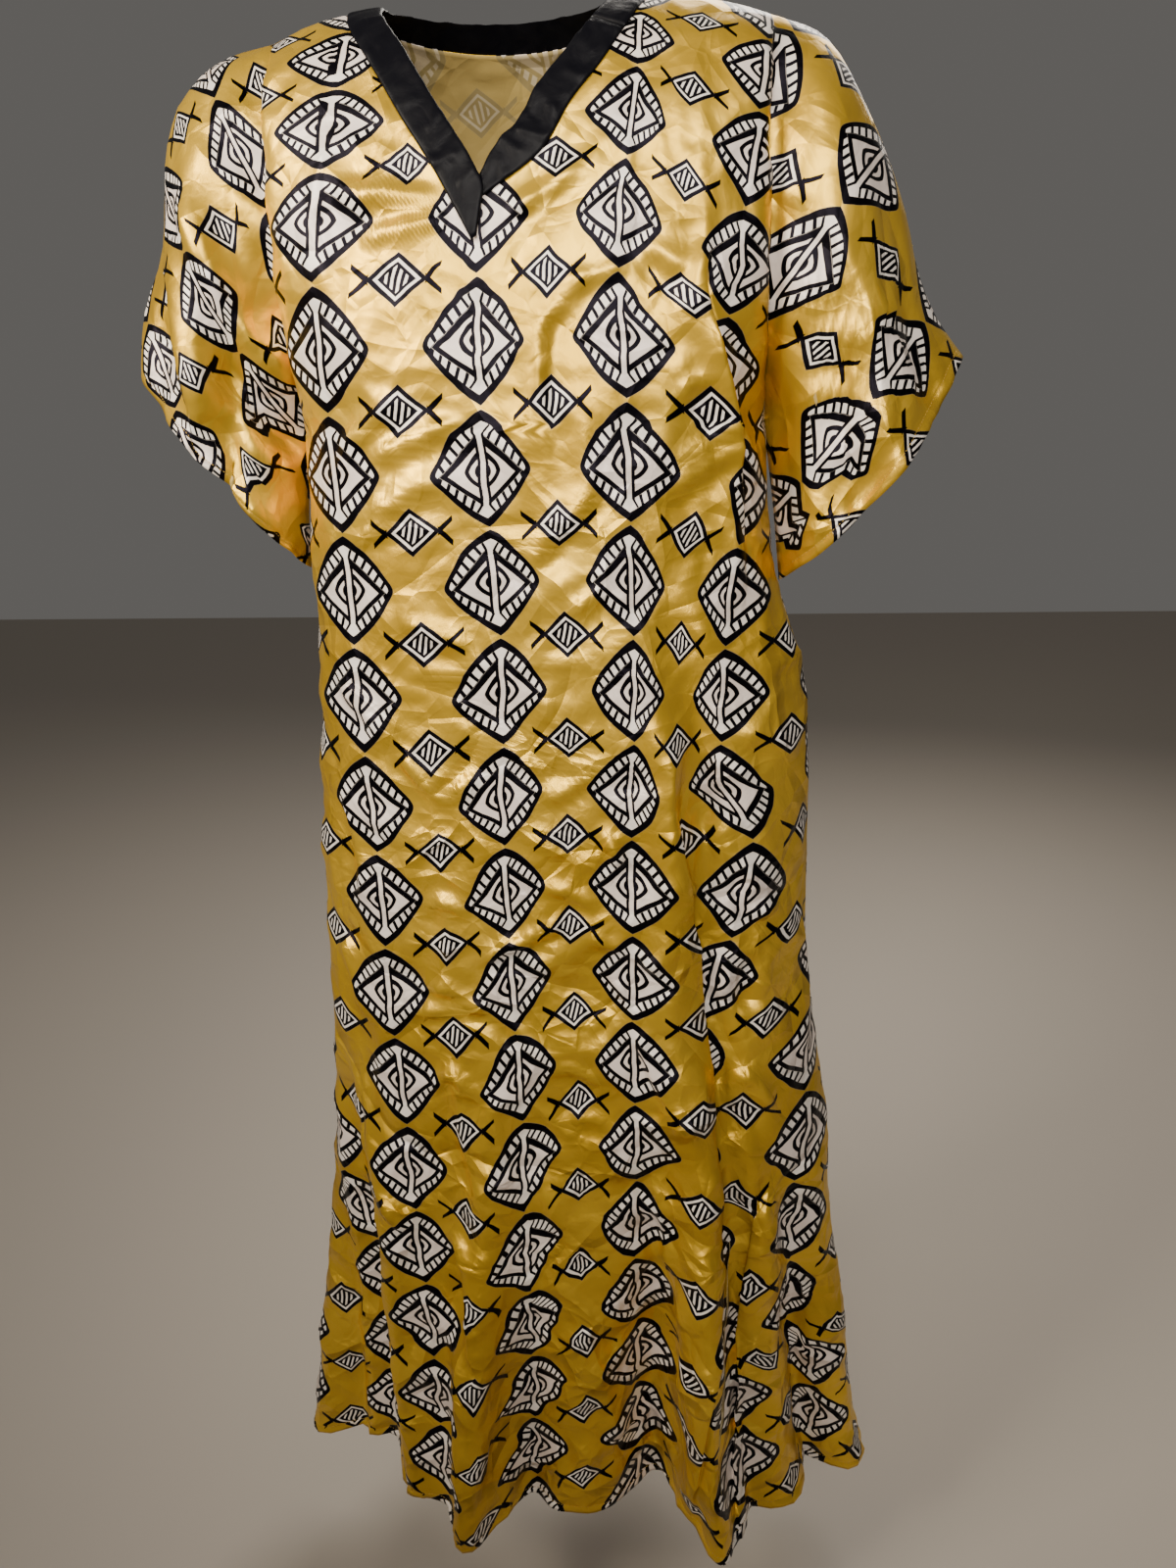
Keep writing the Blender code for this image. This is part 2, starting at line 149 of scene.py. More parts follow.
class Field:
    """A socket of a material, with arithmetic and nodes that grow from it."""

    def __init__(self, tree, socket=None):
        self.tree = tree
        self.socket = socket

    def node(self, kind, settings=(), inputs=(), output=0):
        """Add a node of this kind: its settings first, then values or links for its inputs."""
        made = self.tree.nodes.new(kind)
        for name, value in dict(settings).items():
            setattr(made, name, value)
        for name, value in dict(inputs).items():
            if isinstance(value, Field):
                self.tree.links.new(value.socket, made.inputs[name])
            else:
                made.inputs[name].default_value = value
        return Field(self.tree, made.outputs[output])

    def math(self, operation, *values, clamp=False):
        settings = {"operation": operation, "use_clamp": clamp}
        return self.node("ShaderNodeMath", settings, enumerate((self, *values)))

    def __add__(self, other):
        return self.math("ADD", other)

    def __sub__(self, other):
        return self.math("SUBTRACT", other)

    def __rsub__(self, other):
        return (self * -1.0).math("ADD", other)

    def __mul__(self, other):
        return self.math("MULTIPLY", other)

    def __truediv__(self, other):
        return self.math("DIVIDE", other)

    __radd__ = __add__
    __rmul__ = __mul__

    def size(self):
        return self.math("ABSOLUTE")

    def most(self, other):
        return self.math("MAXIMUM", other)

    def below(self, edge, softness=0.35):
        """1 where the value is less than the edge, 0 past it, with a soft step between."""
        return (edge - self).math("MULTIPLY_ADD", 1.0 / softness, 0.5, clamp=True)

    def share(self, first, last):
        """0 before the first value and 1 past the last, straight between."""
        return ((self - first) / (last - first)).math("ADD", 0.0, clamp=True)

    def repeat(self, period, shift=0.0):
        """Distance to the middle of the nearest repeat, with its sign."""
        place = (self / period + (0.5 - shift)).math("FRACT")
        return (place - 0.5) * period

    def mixed(self, other, factor):
        """This colour turning to another as the factor goes to 1."""
        settings = {"data_type": "RGBA"}
        ports = {0: factor, 6: self, 7: other}
        return self.node("ShaderNodeMix", settings, ports, output=2)

    def colour(self, value):
        """A node that gives this colour."""
        made = self.node("ShaderNodeRGB")
        made.socket.default_value = value
        return made

    def speckle(self, output=0, **sizes):
        """Noise over this place, with its sizes by the names of the node's inputs."""
        return self.node("ShaderNodeTexNoise", {}, {"Vector": self, **sizes}, output=output)

    def parts(self):
        """The three parts of this vector."""
        made = self.node("ShaderNodeSeparateXYZ", {}, {0: self})
        return [Field(self.tree, socket) for socket in made.socket.node.outputs]

    def relief(self, distance, strength, **below):
        """A bump of this height, on top of another normal where one is given."""
        inputs = {"Height": self, "Distance": distance, "Strength": strength, **below}
        return self.node("ShaderNodeBump", {}, inputs)


def shield_marks(x, y):
    """Cream and black shares of the large motif, from millimetres off its centre."""
    beside = x.size()
    narrowed = beside * 0.94
    side_share = narrowed / 36.6
    bulge = side_share * (1.0 - side_share)
    upper = narrowed * 0.746 + y * 0.666 - 26.64 - bulge * 17.0
    lower = narrowed * 0.729 - y * 0.684 - 27.36 - bulge * 11.0
    rim = upper.math("SMOOTH_MAX", lower, 8.0)
    whole = rim.below(0.0)
    outline = 1.0 - (rim + 4.7 - side_share * 0.7).below(0.0)

    frame_upper = narrowed * 0.707 + y * 0.707 - 19.4
    frame_lower = narrowed * 0.631 - y * 0.776 - 19.8
    heart_upper = narrowed * 0.675 + y * 0.738 - 14.7
    frame_line = frame_upper.most(frame_lower).below(0.0)
    heart = heart_upper.most(frame_lower + 3.5).below(0.0)
    ladder = 1.0 - frame_line
    upper_run = (beside * 0.80 - y * 0.60).repeat(7.1).size()
    lower_run = (beside * 0.92 + y * 0.39).repeat(6.6).size()
    on_upper = (0.0 - frame_upper).below(1.0, 0.6)
    rungs = (upper_run * on_upper + lower_run * (1.0 - on_upper)).below(1.3)
    corner = (frame_upper + 1.1).size().below(1.6)
    bars = rungs.most(corner) * ladder

    eye_x = (beside / 13.6).math("POWER", 1.4)
    eye_up = ((y - 0.6).most(0.0) / 14.4).math("POWER", 1.4)
    eye_down = ((0.6 - y).most(0.0) / 12.6).math("POWER", 1.4)
    eye = (eye_x + eye_up + eye_down).math("POWER", 0.714) * 13.6
    lid_in = 3.5 + y.share(4.0, 12.0) * 1.4
    lid = eye.below(13.6) * (1.0 - (eye + lid_in).below(13.6))
    pupil_x = beside / 6.2
    pupil_y = (y - 0.6) / 5.6
    pupil = (pupil_x * pupil_x + pupil_y * pupil_y).math("SQRT").below(1.0, 0.1)
    black = outline.most(bars).most(frame_line * (1.0 - heart)).most(lid).most(pupil)

    spine_half = 2.0 + y.share(24.5, 31.0) * 3.8 + y.share(-23.5, -30.0) * 4.6
    spine_edge = (beside - spine_half - 1.1).size().below(1.2)
    on_spine = (beside - spine_half).below(0.0)
    inside = 1.0 - outline
    black = (black * (1.0 - on_spine * inside)).most(spine_edge * inside)
    return whole, black * whole, heart


def diamond_marks(x, y):
    """Cream and black shares of the small motif, from millimetres off its centre."""
    beside = x.size()
    above = y.size()
    rim = (beside / 21.0 + above / 17.5 - 1.0) * 13.4
    whole = rim.below(0.0)
    outline = 1.0 - rim.below(-3.1)
    heart = rim.below(-5.0)
    stripes = (x - y * 0.2).repeat(4.6, 0.5).size().below(1.0)
    black = outline.most(heart * (1.0 - stripes * rim.below(-6.9)))
    past = beside - 20.0
    whisker_off = (above - past.size() * 0.84).size() * 0.77
    whisker = (whisker_off - 2.05 + past * 0.05).below(0.0) * past.size().below(10.8)
    outside = 1.0 - past.below(-1.0)
    return whole, (black * whole).most(whisker * outside)


def printed_satin(name, wrong_side):
    """The cloth's material for one of its sides."""
    material, shader = new_material(name)
    tree = material.node_tree
    start = Field(tree)
    threads = start.node("ShaderNodeUVMap", {"uv_map": "threads"})
    wobble = threads.speckle(output=1, Scale=42.0, Detail=1.0, Roughness=0.4)
    thread_x, thread_y, _ = threads.parts()
    wobble_x, wobble_y, _ = wobble.parts()
    run_x = thread_x * 1000.0
    run_y = thread_y * 1000.0
    sway_x = wobble_x - 0.5
    sway_y = wobble_y - 0.5
    run_x = run_x + sway_x * PRINT_SWAY
    run_y = run_y + sway_y * PRINT_SWAY
    shield_place = run_x.repeat(REPEAT_ACROSS), run_y.repeat(REPEAT_DOWN) * -1.0
    shield, shield_ink, shield_heart = shield_marks(*shield_place)
    diamond_place = run_x.repeat(REPEAT_ACROSS, 0.5), run_y.repeat(REPEAT_DOWN, 0.5) * -1.0
    diamond, diamond_ink = diamond_marks(*diamond_place)
    print_share = shield.most(diamond)
    ink_share = shield_ink.most(diamond_ink)

    place = start.node("ShaderNodeTexCoord", {}, {}, output=3)
    broad = place.speckle(Scale=7.0, Detail=3.0)
    ground = start.colour(GOLD)
    deep = start.colour(GOLD_DEEP)
    ground = ground.mixed(deep, broad.share(0.38, 0.66))
    cream = start.colour(CREAM).mixed(CREAM_WARM, shield_heart)
    colour = ground.mixed(cream, print_share).mixed(INK, ink_share)
    if wrong_side:
        colour = start.colour(WRONG_SIDE).mixed(colour, 0.22)
    tree.links.new(colour.socket, shader.inputs["Base Color"])

    metal = 0.66 - print_share * 0.52 + ink_share * 0.75
    rough = 0.33 + broad * 0.10 + print_share * 0.04
    shader.inputs["Specular IOR Level"].default_value = 0.25
    if wrong_side:
        shader.inputs["Metallic"].default_value = 0.05
        shader.inputs["Roughness"].default_value = 0.55
    else:
        tree.links.new(metal.socket, shader.inputs["Metallic"])
        tree.links.new(rough.socket, shader.inputs["Roughness"])
    drift = place.speckle(output=1, Scale=8.0, Detail=1.0)
    moved_by = {0: drift, 1: (0.05, 0.05, 0.05), 2: place}
    moved = start.node("ShaderNodeVectorMath", {"operation": "MULTIPLY_ADD"}, moved_by)
    wrinkles = broad * 0.0
    for scale, thin, high in ((10.0, 0.14, 1.0), (18.0, 0.18, 0.55), (37.0, 0.22, 0.22)):
        cells = {"Vector": moved, "Scale": scale}
        edges = start.node("ShaderNodeTexVoronoi", {"feature": "DISTANCE_TO_EDGE"}, cells)
        patch = place.speckle(Scale=scale * 0.55, Detail=1.0)
        crest = (1.0 - edges / thin).math("MAXIMUM", 0.0).math("POWER", 1.4)
        wrinkles = wrinkles + crest * (patch.share(0.45, 0.60) - patch.share(0.53, 0.38) * 0.8) * high
    small = place.speckle(Scale=70.0, Detail=2.0, Roughness=0.5, Distortion=0.7)
    _, _, height = place.parts()
    wrinkles = (wrinkles + small * 0.22) * (0.6 + height.share(-0.30, -0.65) * 0.7)
    warp_lines = (run_x * (2.0 * math.pi / WARP_PITCH)).math("SINE")
    weft_lines = (run_y * (2.0 * math.pi / WEFT_PITCH)).math("SINE")
    weave = warp_lines * 0.6 + weft_lines * 0.4
    coarse = wrinkles.relief(0.0036, 0.95)
    fine = weave.relief(0.00002, 0.5, Normal=coarse)
    tree.links.new(fine.socket, shader.inputs["Normal"])
    return material


satin_face = printed_satin("printed_satin_face", wrong_side=False)
satin_back = printed_satin("printed_satin_wrong_side", wrong_side=True)


# Front panel: satin cut in one with the front halves of both short sleeves. It hangs from
# the shoulder seams and the neckband, over a chest and straight down to the hem.
CLOTH_WALL = 0.0006
SEAM_GAP = 0.0003
ARMPIT_DOWN = 0.280
HEM_DOWN = 1.260
YOKE_HALF = 0.175
YOKE_DROP = 0.014
YOKE_LEVEL_HALF = 0.100
SQUARENESS = 2.3
COLUMNS = (28, 48, 56, 28)
YOKE_ROWS = 56
TRUNK_ROWS = 197
SLEEVE_RINGS = 22

Profile = namedtuple("Profile", "step height middle armhole")
FRONT_PROFILE = [Profile(*row) for row in (
    (0.00, 0.000, 0.000, 0.000),
    (0.12, -0.010, 0.030, 0.022),
    (0.25, -0.035, 0.056, 0.042),
    (0.40, -0.080, 0.076, 0.053),
    (0.60, -0.145, 0.091, 0.056),
    (0.80, -0.215, 0.100, 0.042),
    (1.00, -0.280, 0.103, 0.000),
)]
BACK_PROFILE = [Profile(*row) for row in (
    (0.00, 0.000, 0.000, 0.000),
    (0.12, -0.007, 0.032, 0.024),
    (0.25, -0.026, 0.060, 0.045),
    (0.40, -0.068, 0.082, 0.058),
    (0.60, -0.135, 0.098, 0.060),
    (0.80, -0.210, 0.104, 0.044),
    (1.00, -0.280, 0.103, 0.000),
)]

Section = namedtuple("Section", "down left right front back")
TRUNK = [Section(*row) for row in (
    (0.280, 0.175, 0.175, 0.103, 0.103),
    (0.400, 0.181, 0.188, 0.101, 0.104),
    (0.470, 0.183, 0.210, 0.100, 0.105),
    (0.540, 0.189, 0.217, 0.098, 0.107),
    (0.640, 0.196, 0.219, 0.096, 0.110),
    (0.720, 0.197, 0.221, 0.094, 0.114),
    (0.800, 0.201, 0.231, 0.094, 0.119),
    (0.870, 0.208, 0.242, 0.094, 0.123),
    (1.000, 0.223, 0.253, 0.096, 0.131),
    (1.060, 0.232, 0.263, 0.097, 0.135),
    (1.130, 0.246, 0.272, 0.098, 0.139),
    (1.200, 0.256, 0.280, 0.099, 0.143),
    (1.260, 0.265, 0.293, 0.100, 0.146),
)]

# The skirt's largest folds: start and end across the panel, first and full depth down it,
# half width across and height
Fold = namedtuple("Fold", "start end first full half_width height")
FRONT_FOLDS = [Fold(*row) for row in (
    (0.06, 0.15, 0.84, 1.26, 0.055, -0.045),
    (0.14, 0.25, 0.74, 1.26, 0.052, -0.056),
    (0.43, 0.413, 0.70, 1.26, 0.026, 0.046),
    (0.47, 0.466, 0.90, 1.26, 0.018, -0.022),
    (0.61, 0.578, 0.80, 1.26, 0.040, -0.056),
    (0.67, 0.640, 0.62, 1.26, 0.028, 0.046),
    (0.80, 0.840, 0.78, 1.26, 0.055, -0.046),
    (0.60, 0.625, 0.34, 0.60, 0.024, 0.009),
    (0.665, 0.685, 0.34, 0.60, 0.028, -0.012),
    (0.30, 0.28, 0.42, 0.70, 0.040, 0.007),
)]
BACK_FOLDS = [Fold(*row) for row in (
    (0.15, 0.13, 0.80, 1.26, 0.035, 0.022),
    (0.24, 0.23, 0.66, 1.26, 0.038, -0.034),
    (0.34, 0.35, 0.58, 1.26, 0.040, 0.032),
    (0.45, 0.46, 0.72, 1.26, 0.036, -0.036),
    (0.55, 0.56, 0.50, 1.26, 0.038, 0.030),
    (0.66, 0.67, 0.62, 1.26, 0.036, -0.034),
    (0.76, 0.78, 0.70, 1.26, 0.038, 0.026),
    (0.86, 0.88, 0.86, 1.26, 0.032, -0.022),
)]
SIDE_CALM = 0.04

Seam = namedtuple("Seam", "along x height")
OVERARM = {
    -1: [Seam(*row) for row in (
        (0.00, -0.175, -0.014), (0.18, -0.223, -0.026), (0.32, -0.252, -0.052), (0.50, -0.270, -0.099),
        (0.68, -0.280, -0.148), (0.84, -0.301, -0.191), (1.00, -0.310, -0.235),
    )],
    1: [Seam(*row) for row in (
        (0.00, 0.175, -0.014), (0.16, 0.212, -0.029), (0.36, 0.245, -0.078), (0.62, 0.274, -0.145),
        (0.76, 0.284, -0.181), (0.90, 0.301, -0.216), (1.00, 0.320, -0.240),
    )],
}
UNDERARM = {
    -1: [Seam(*row) for row in (
        (0.00, -0.175, -0.280), (0.50, -0.184, -0.338), (1.00, -0.187, -0.388),
    )],
    1: [Seam(*row) for row in (
        (0.00, 0.175, -0.280), (0.50, 0.184, -0.344), (1.00, 0.190, -0.402),
    )],
}
SLEEVE_STAND = 0.068
CUFF_STAND = 0.060
RING_POWER = 0.75
SLEEVE_RISE = 0.36
CUFF_BOW = {(-1, -1): -0.010, (-1, 1): 0.020, (1, -1): 0.011, (1, 1): 0.012}
SleeveFold = namedtuple("SleeveFold", "place half_width height")
SLEEVE_FOLDS = [SleeveFold(*row) for row in (
    (0.20, 0.070, -0.009),
    (0.42, 0.090, 0.009),
    (0.62, 0.070, -0.010),
    (0.82, 0.080, 0.007),
)]

Neck = namedtuple("Neck", "x step")
NECK_LEFT = [Neck(*row) for row in (
    (-0.118, 0.000),
    (-0.114, 0.143),
    (-0.076, 0.380),
    (-0.046, 0.525),
    (-0.033, 0.595),
)]
NECK_RIGHT = [Neck(*row) for row in (
    (-0.033, 0.595),
    (-0.008, 0.550),
    (0.025, 0.478),
    (0.042, 0.390),
    (0.062, 0.314),
    (0.089, 0.113),
    (0.094, 0.000),
)]
BACK_NECK_STEP = 0.20
STEP_LENGTH = 0.30

# Laps, where one layer of cloth lies over the next: which way the upper layer's edge points
# (1 right, -1 left), the columns that it takes (as shares of the panel), how high it stands,
# and for each depth the edge's X and how far the layers overlap
Lap = namedtuple("Lap", "points first last height rows")
LapRow = namedtuple("LapRow", "down edge overlap")
FRONT_LAPS = [Lap(*lap, [LapRow(*row) for row in rows]) for lap, rows in (
    ((1, 0.76, 0.90, 0.008), (
        (0.135, 0.128, 0.000), (0.175, 0.131, 0.003), (0.200, 0.134, 0.010), (0.225, 0.138, 0.016),
        (0.250, 0.143, 0.017), (0.285, 0.149, 0.015), (0.330, 0.156, 0.009), (0.370, 0.160, 0.002),
    )),
    ((-1, 0.09, 0.27, 0.007), (
        (0.800, -0.168, 0.000), (0.865, -0.163, 0.003), (0.945, -0.150, 0.010), (1.050, -0.152, 0.014),
        (1.130, -0.150, 0.012), (1.260, -0.146, 0.008),
    )),
    ((1, 0.56, 0.74, 0.008), (
        (0.480, 0.112, 0.000), (0.560, 0.113, 0.001), (0.598, 0.115, 0.006), (0.650, 0.124, 0.012),
        (0.708, 0.130, 0.022), (0.790, 0.137, 0.032), (0.860, 0.140, 0.034), (0.925, 0.143, 0.030),
        (0.975, 0.145, 0.020), (1.060, 0.142, 0.010), (1.180, 0.132, 0.004), (1.260, 0.128, 0.002),
    )),
    ((-1, 0.76, 0.90, 0.006), (
        (0.880, 0.178, 0.000), (0.960, 0.174, 0.006), (1.020, 0.169, 0.012), (1.100, 0.163, 0.012),
        (1.180, 0.160, 0.006), (1.260, 0.160, 0.003),
    )),
)]
LAP_KEYS = (0.0, 0.34, 0.54, 0.72, 1.0)
LAP_GROWTH = 0.060
LAP_MARGIN = 0.014
LAP_CREST = 0.007
LAP_SLACK = 0.004
LAP_LIFTS = (0.4, 1.0, 0.72, 0.12, 0.0)
LAP_RUN_OUT = 0.35

# Creases pulled by the shoulders, the chest and the packing: both ends (X and depth below
# the shoulder line) in millimetres, half width, and height (less than 0 where it sinks in),
# which the strength then multiplies. Each sways a little and fades out past its ends, and
# the last numbers here shape its ridge and the trough beside it, in half widths.
CREASE_STRENGTH = 2.3
CREASE_SWAY = 5.0
SWAY_SCALE = 9
CREASE_FADE = 1.6
RIDGE_SHARPNESS = 1.5
TROUGH_AWAY = 2.1
TROUGH_HALF = 1.3
TROUGH_SHARE = 0.38
Crease = namedtuple("Crease", "x1 d1 x2 d2 half_width height")
FRONT_CREASES = [Crease(*row) for row in (
    (-50, 135, -112, 130, 6, 2.4), (-45, 150, -97, 159, 5, 1.8), (5, 145, 44, 121, 5, 1.8),
    (17, 300, 20, 215, 5, 1.8), (20, 215, 48, 187, 5, 1.6), (48, 187, 78, 179, 5, 1.4),
    (137, 218, 147, 273, 7, 4.0), (147, 273, 161, 318, 7, 4.5), (112, 325, 148, 297, 5, 2.2),
    (116, 309, 146, 283, 4, 1.8), (112, 263, 134, 249, 5, 2.0), (92, 168, 116, 180, 6, 2.2),
    (-128, 286, -84, 259, 6, 2.2), (-106, 298, -42, 275, 6, 2.4), (-106, 339, -60, 314, 6, 2.2),
    (-126, 363, -95, 345, 5, 1.9), (8, 371, 50, 329, 6, 2.4), (37, 416, 54, 399, 5, 1.8),
    (4, 302, 6, 268, 5, 1.6), (-86, 421, -40, 434, 6, 2.0), (-87, 458, -36, 456, 3.5, 1.2),
    (0, 451, 47, 449, 3.5, 1.1), (10, 468, 17, 492, 4, 1.4), (-98, 524, -70, 561, 5, 3.0),
    (-70, 561, -47, 539, 5, 3.0), (-70, 562, -40, 514, 6, -2.4), (-96, 601, -74, 589, 5, 2.2),
    (-90, 652, -73, 640, 5, 2.6), (-73, 640, -56, 652, 5, 2.4), (-73, 640, -72, 692, 6, 2.6),
    (-46, 691, 16, 659, 5, 3.2), (45, 671, 78, 683, 5, 2.2), (77, 683, 101, 691, 5, 2.4),
    (-14, 515, 6, 526, 5, 1.8), (14, 551, 52, 529, 6, 2.3), (0, 585, 17, 596, 5, 2.0),
    (4, 624, 46, 641, 6, 2.6), (56, 590, 68, 606, 5, 2.2), (-91, 714, -64, 726, 5, 2.3),
    (-98, 739, -44, 734, 5, 2.5), (-74, 795, -93, 816, 6, 3.2), (-74, 795, -57, 816, 6, 3.0),
    (-72, 808, -66, 880, 7, 3.2), (-66, 880, -60, 914, 6, 2.4), (7, 795, 22, 786, 5, 2.3),
    (22, 786, 49, 801, 5, 2.5), (3, 834, 23, 856, 5, 2.5), (23, 856, 33, 833, 5, 2.2),
    (33, 833, 52, 841, 5, 2.0), (-66, 975, -83, 959, 5, 3.0), (-66, 975, -54, 969, 5, 2.6),
    (-66, 975, -62, 1066, 7, 3.2), (-144, 934, -131, 956, 5, 2.8), (-163, 872, -160, 900, 5, 2.2),
    (181, 455, 206, 455, 5, 2.0), (165, 500, 196, 519, 7, 2.6), (164, 609, 173, 636, 5, 2.4),
    (169, 655, 191, 655, 5, 2.2), (165, 700, 163, 736, 7, -3.4), (163, 795, 150, 826, 6, 3.0),
    (163, 795, 191, 836, 6, 3.0), (82, 754, 122, 841, 6, 3.4), (57, 579, 69, 601, 5, 2.2),
    (-80, 1065, -77, 1262, 10, 4.0), (-48, 1148, -62, 1217, 5, -3.0), (28, 1035, 27, 1200, 12, 3.4),
    (-3, 905, 20, 960, 6, 2.4), (20, 960, 12, 1010, 6, 2.2), (92, 900, 108, 985, 7, 3.0),
    (60, 700, 84, 742, 5, 2.0), (-150, 470, -118, 500, 6, 2.2), (-158, 560, -140, 640, 7, 2.6),
    (-165, 690, -148, 760, 7, 2.8), (-30, 742, -8, 770, 5, 2.0), (-25, 1000, 0, 1045, 6, 2.2),
    (40, 1090, 56, 1180, 8, 3.0), (120, 1010, 128, 1110, 8, 3.2), (188, 930, 196, 1030, 8, 3.2),
    (226, 1040, 236, 1160, 9, 3.4),
)]
SLEEVE_CREASES = [Crease(*row) for row in (
    (-200, 60, -170, 100, 8, 3.2), (-170, 100, -152, 126, 7, 2.8), (-232, 125, -215, 186, 9, 4.6),
    (-215, 186, -176, 246, 9, 4.8), (-193, 120, -162, 192, 8, 4.0), (-216, 235, -176, 301, 9, -4.6),
    (-256, 150, -236, 262, 9, 4.0), (-282, 205, -240, 300, 8, -3.6), (-236, 300, -205, 352, 8, 3.4),
    (180, 145, 193, 129, 6, 2.2), (219, 160, 222, 182, 6, 2.4), (262, 180, 262, 195, 5, 2.2),
    (240, 212, 264, 212, 5, 2.6), (206, 235, 248, 225, 6, 3.0), (272, 258, 262, 240, 5, 3.0),
    (272, 258, 290, 250, 5, 2.8), (272, 258, 268, 286, 5, 2.8), (222, 311, 263, 270, 7, 3.6),
    (232, 330, 250, 300, 6, 3.0), (196, 200, 236, 190, 6, 2.2), (203, 268, 240, 262, 6, 2.4),
)]


def smooth_value(keys, values, wanted):
    """Cubic curve through a table, which doesn't swing past its neighbours much."""
    keys = np.asarray(keys, dtype=float)
    values = np.asarray(values, dtype=float)
    wanted = np.clip(np.asarray(wanted, dtype=float), keys[0], keys[-1])
    steps = np.diff(keys)
    rises = np.diff(values) / steps
    slopes = np.empty_like(values)
    slopes[0] = rises[0]
    slopes[-1] = rises[-1]
    slopes[1:-1] = (rises[:-1] * steps[1:] + rises[1:] * steps[:-1]) / (steps[:-1] + steps[1:])
    place = np.clip(np.searchsorted(keys, wanted, side="right") - 1, 0, len(steps) - 1)
    width = steps[place]
    t = (wanted - keys[place]) / width
    start = values[place] * (1 + 2 * t) * (1 - t) ** 2 + slopes[place] * width * t * (1 - t) ** 2
    finish = values[place + 1] * t * t * (3 - 2 * t) - slopes[place + 1] * width * t * t * (1 - t)
    return start + finish


def column_of(table, key, name, wanted):
    """Read one named column of a table at the wanted places of its key column."""
    return smooth_value([getattr(row, key) for row in table],
                        [getattr(row, name) for row in table], wanted)


def ease(value):
    """Smooth step from 0 to 1."""
    value = np.clip(value, 0.0, 1.0)
    return value * value * (3.0 - 2.0 * value)


def as_grids(*values):
    """These values as arrays of one common shape."""
    return np.broadcast_arrays(*(np.asarray(value, dtype=float) for value in values))


def signed_power(value, power):
    """Power of the size of a value, with its sign kept."""
    return np.sign(value) * np.abs(value) ** power


def across_to_x(across):
    """Place across the panel (0 to 1) to X in the yoke."""
    return -YOKE_HALF * signed_power(np.cos(np.pi * across), 2.0 / SQUARENESS)


def yoke_points(side, x, step):
    """Cloth over the shoulders and chest (side -1) or upper back (side 1)."""
    profile = FRONT_PROFILE if side < 0 else BACK_PROFILE
    x, step = as_grids(x, step)
    middle = column_of(profile, "step", "middle", step)
    armhole = column_of(profile, "step", "armhole", step)
    round_off = np.clip(1.0 - np.abs(x / YOKE_HALF) ** SQUARENESS, 0.0, 1.0) ** (1.0 / SQUARENESS)
    past_level = np.clip((np.abs(x) - YOKE_LEVEL_HALF) / (YOKE_HALF - YOKE_LEVEL_HALF), 0.0, 1.0)
    height = column_of(profile, "step", "height", step)
    height = height - YOKE_DROP * past_level ** 2 * (1.0 - step)
    depth = armhole + (middle - armhole) * round_off
    return np.stack([x, side * (depth + SEAM_GAP / 2), height], axis=-1)


def fold_lift(folds, across, down):
    """How far the folds move the cloth out at each place."""
    lift = np.zeros(np.broadcast(across, down).shape)
    for fold in folds:
        grown = ease((down - fold.first) / (fold.full - fold.first))
        centre = fold.start + (fold.end - fold.start) * grown
        lift = lift + fold.height * grown * np.exp(-((across - centre) / fold.half_width) ** 2)
    return lift


def trunk_points(side, across, down):
    """Body below the armpits, with the folds of the skirt."""
    across, down = as_grids(across, down)
    left = column_of(TRUNK, "down", "left", down)
    right = column_of(TRUNK, "down", "right", down)
    stand = column_of(TRUNK, "down", "front" if side < 0 else "back", down)
    middle = (right - left) / 2
    half = (right + left) / 2
    turn = np.pi * across
    share_x = -signed_power(np.cos(turn), 2.0 / SQUARENESS)
    share_y = np.abs(np.sin(turn)) ** (2.0 / SQUARENESS)
    normal_x = signed_power(share_x, SQUARENESS - 1) / half
    normal_y = side * share_y ** (SQUARENESS - 1) / stand
    size = np.hypot(normal_x, normal_y)
    lift = fold_lift(FRONT_FOLDS if side < 0 else BACK_FOLDS, across, down)
    lift = lift * ease(np.minimum(across, 1 - across) / SIDE_CALM)
    x = middle + half * share_x + lift * normal_x / size
    y = side * (stand * share_y + SEAM_GAP / 2) + lift * normal_y / size
    return np.stack([x, y, -down], axis=-1)


def across_of(x, down):
    """Place across the body for an X, without the folds."""
    left = column_of(TRUNK, "down", "left", down)
    right = column_of(TRUNK, "down", "right", down)
    share = np.clip((x - (right - left) / 2) / ((right + left) / 2), -1.0, 1.0)
    return np.arccos(-signed_power(share, SQUARENESS / 2.0)) / np.pi


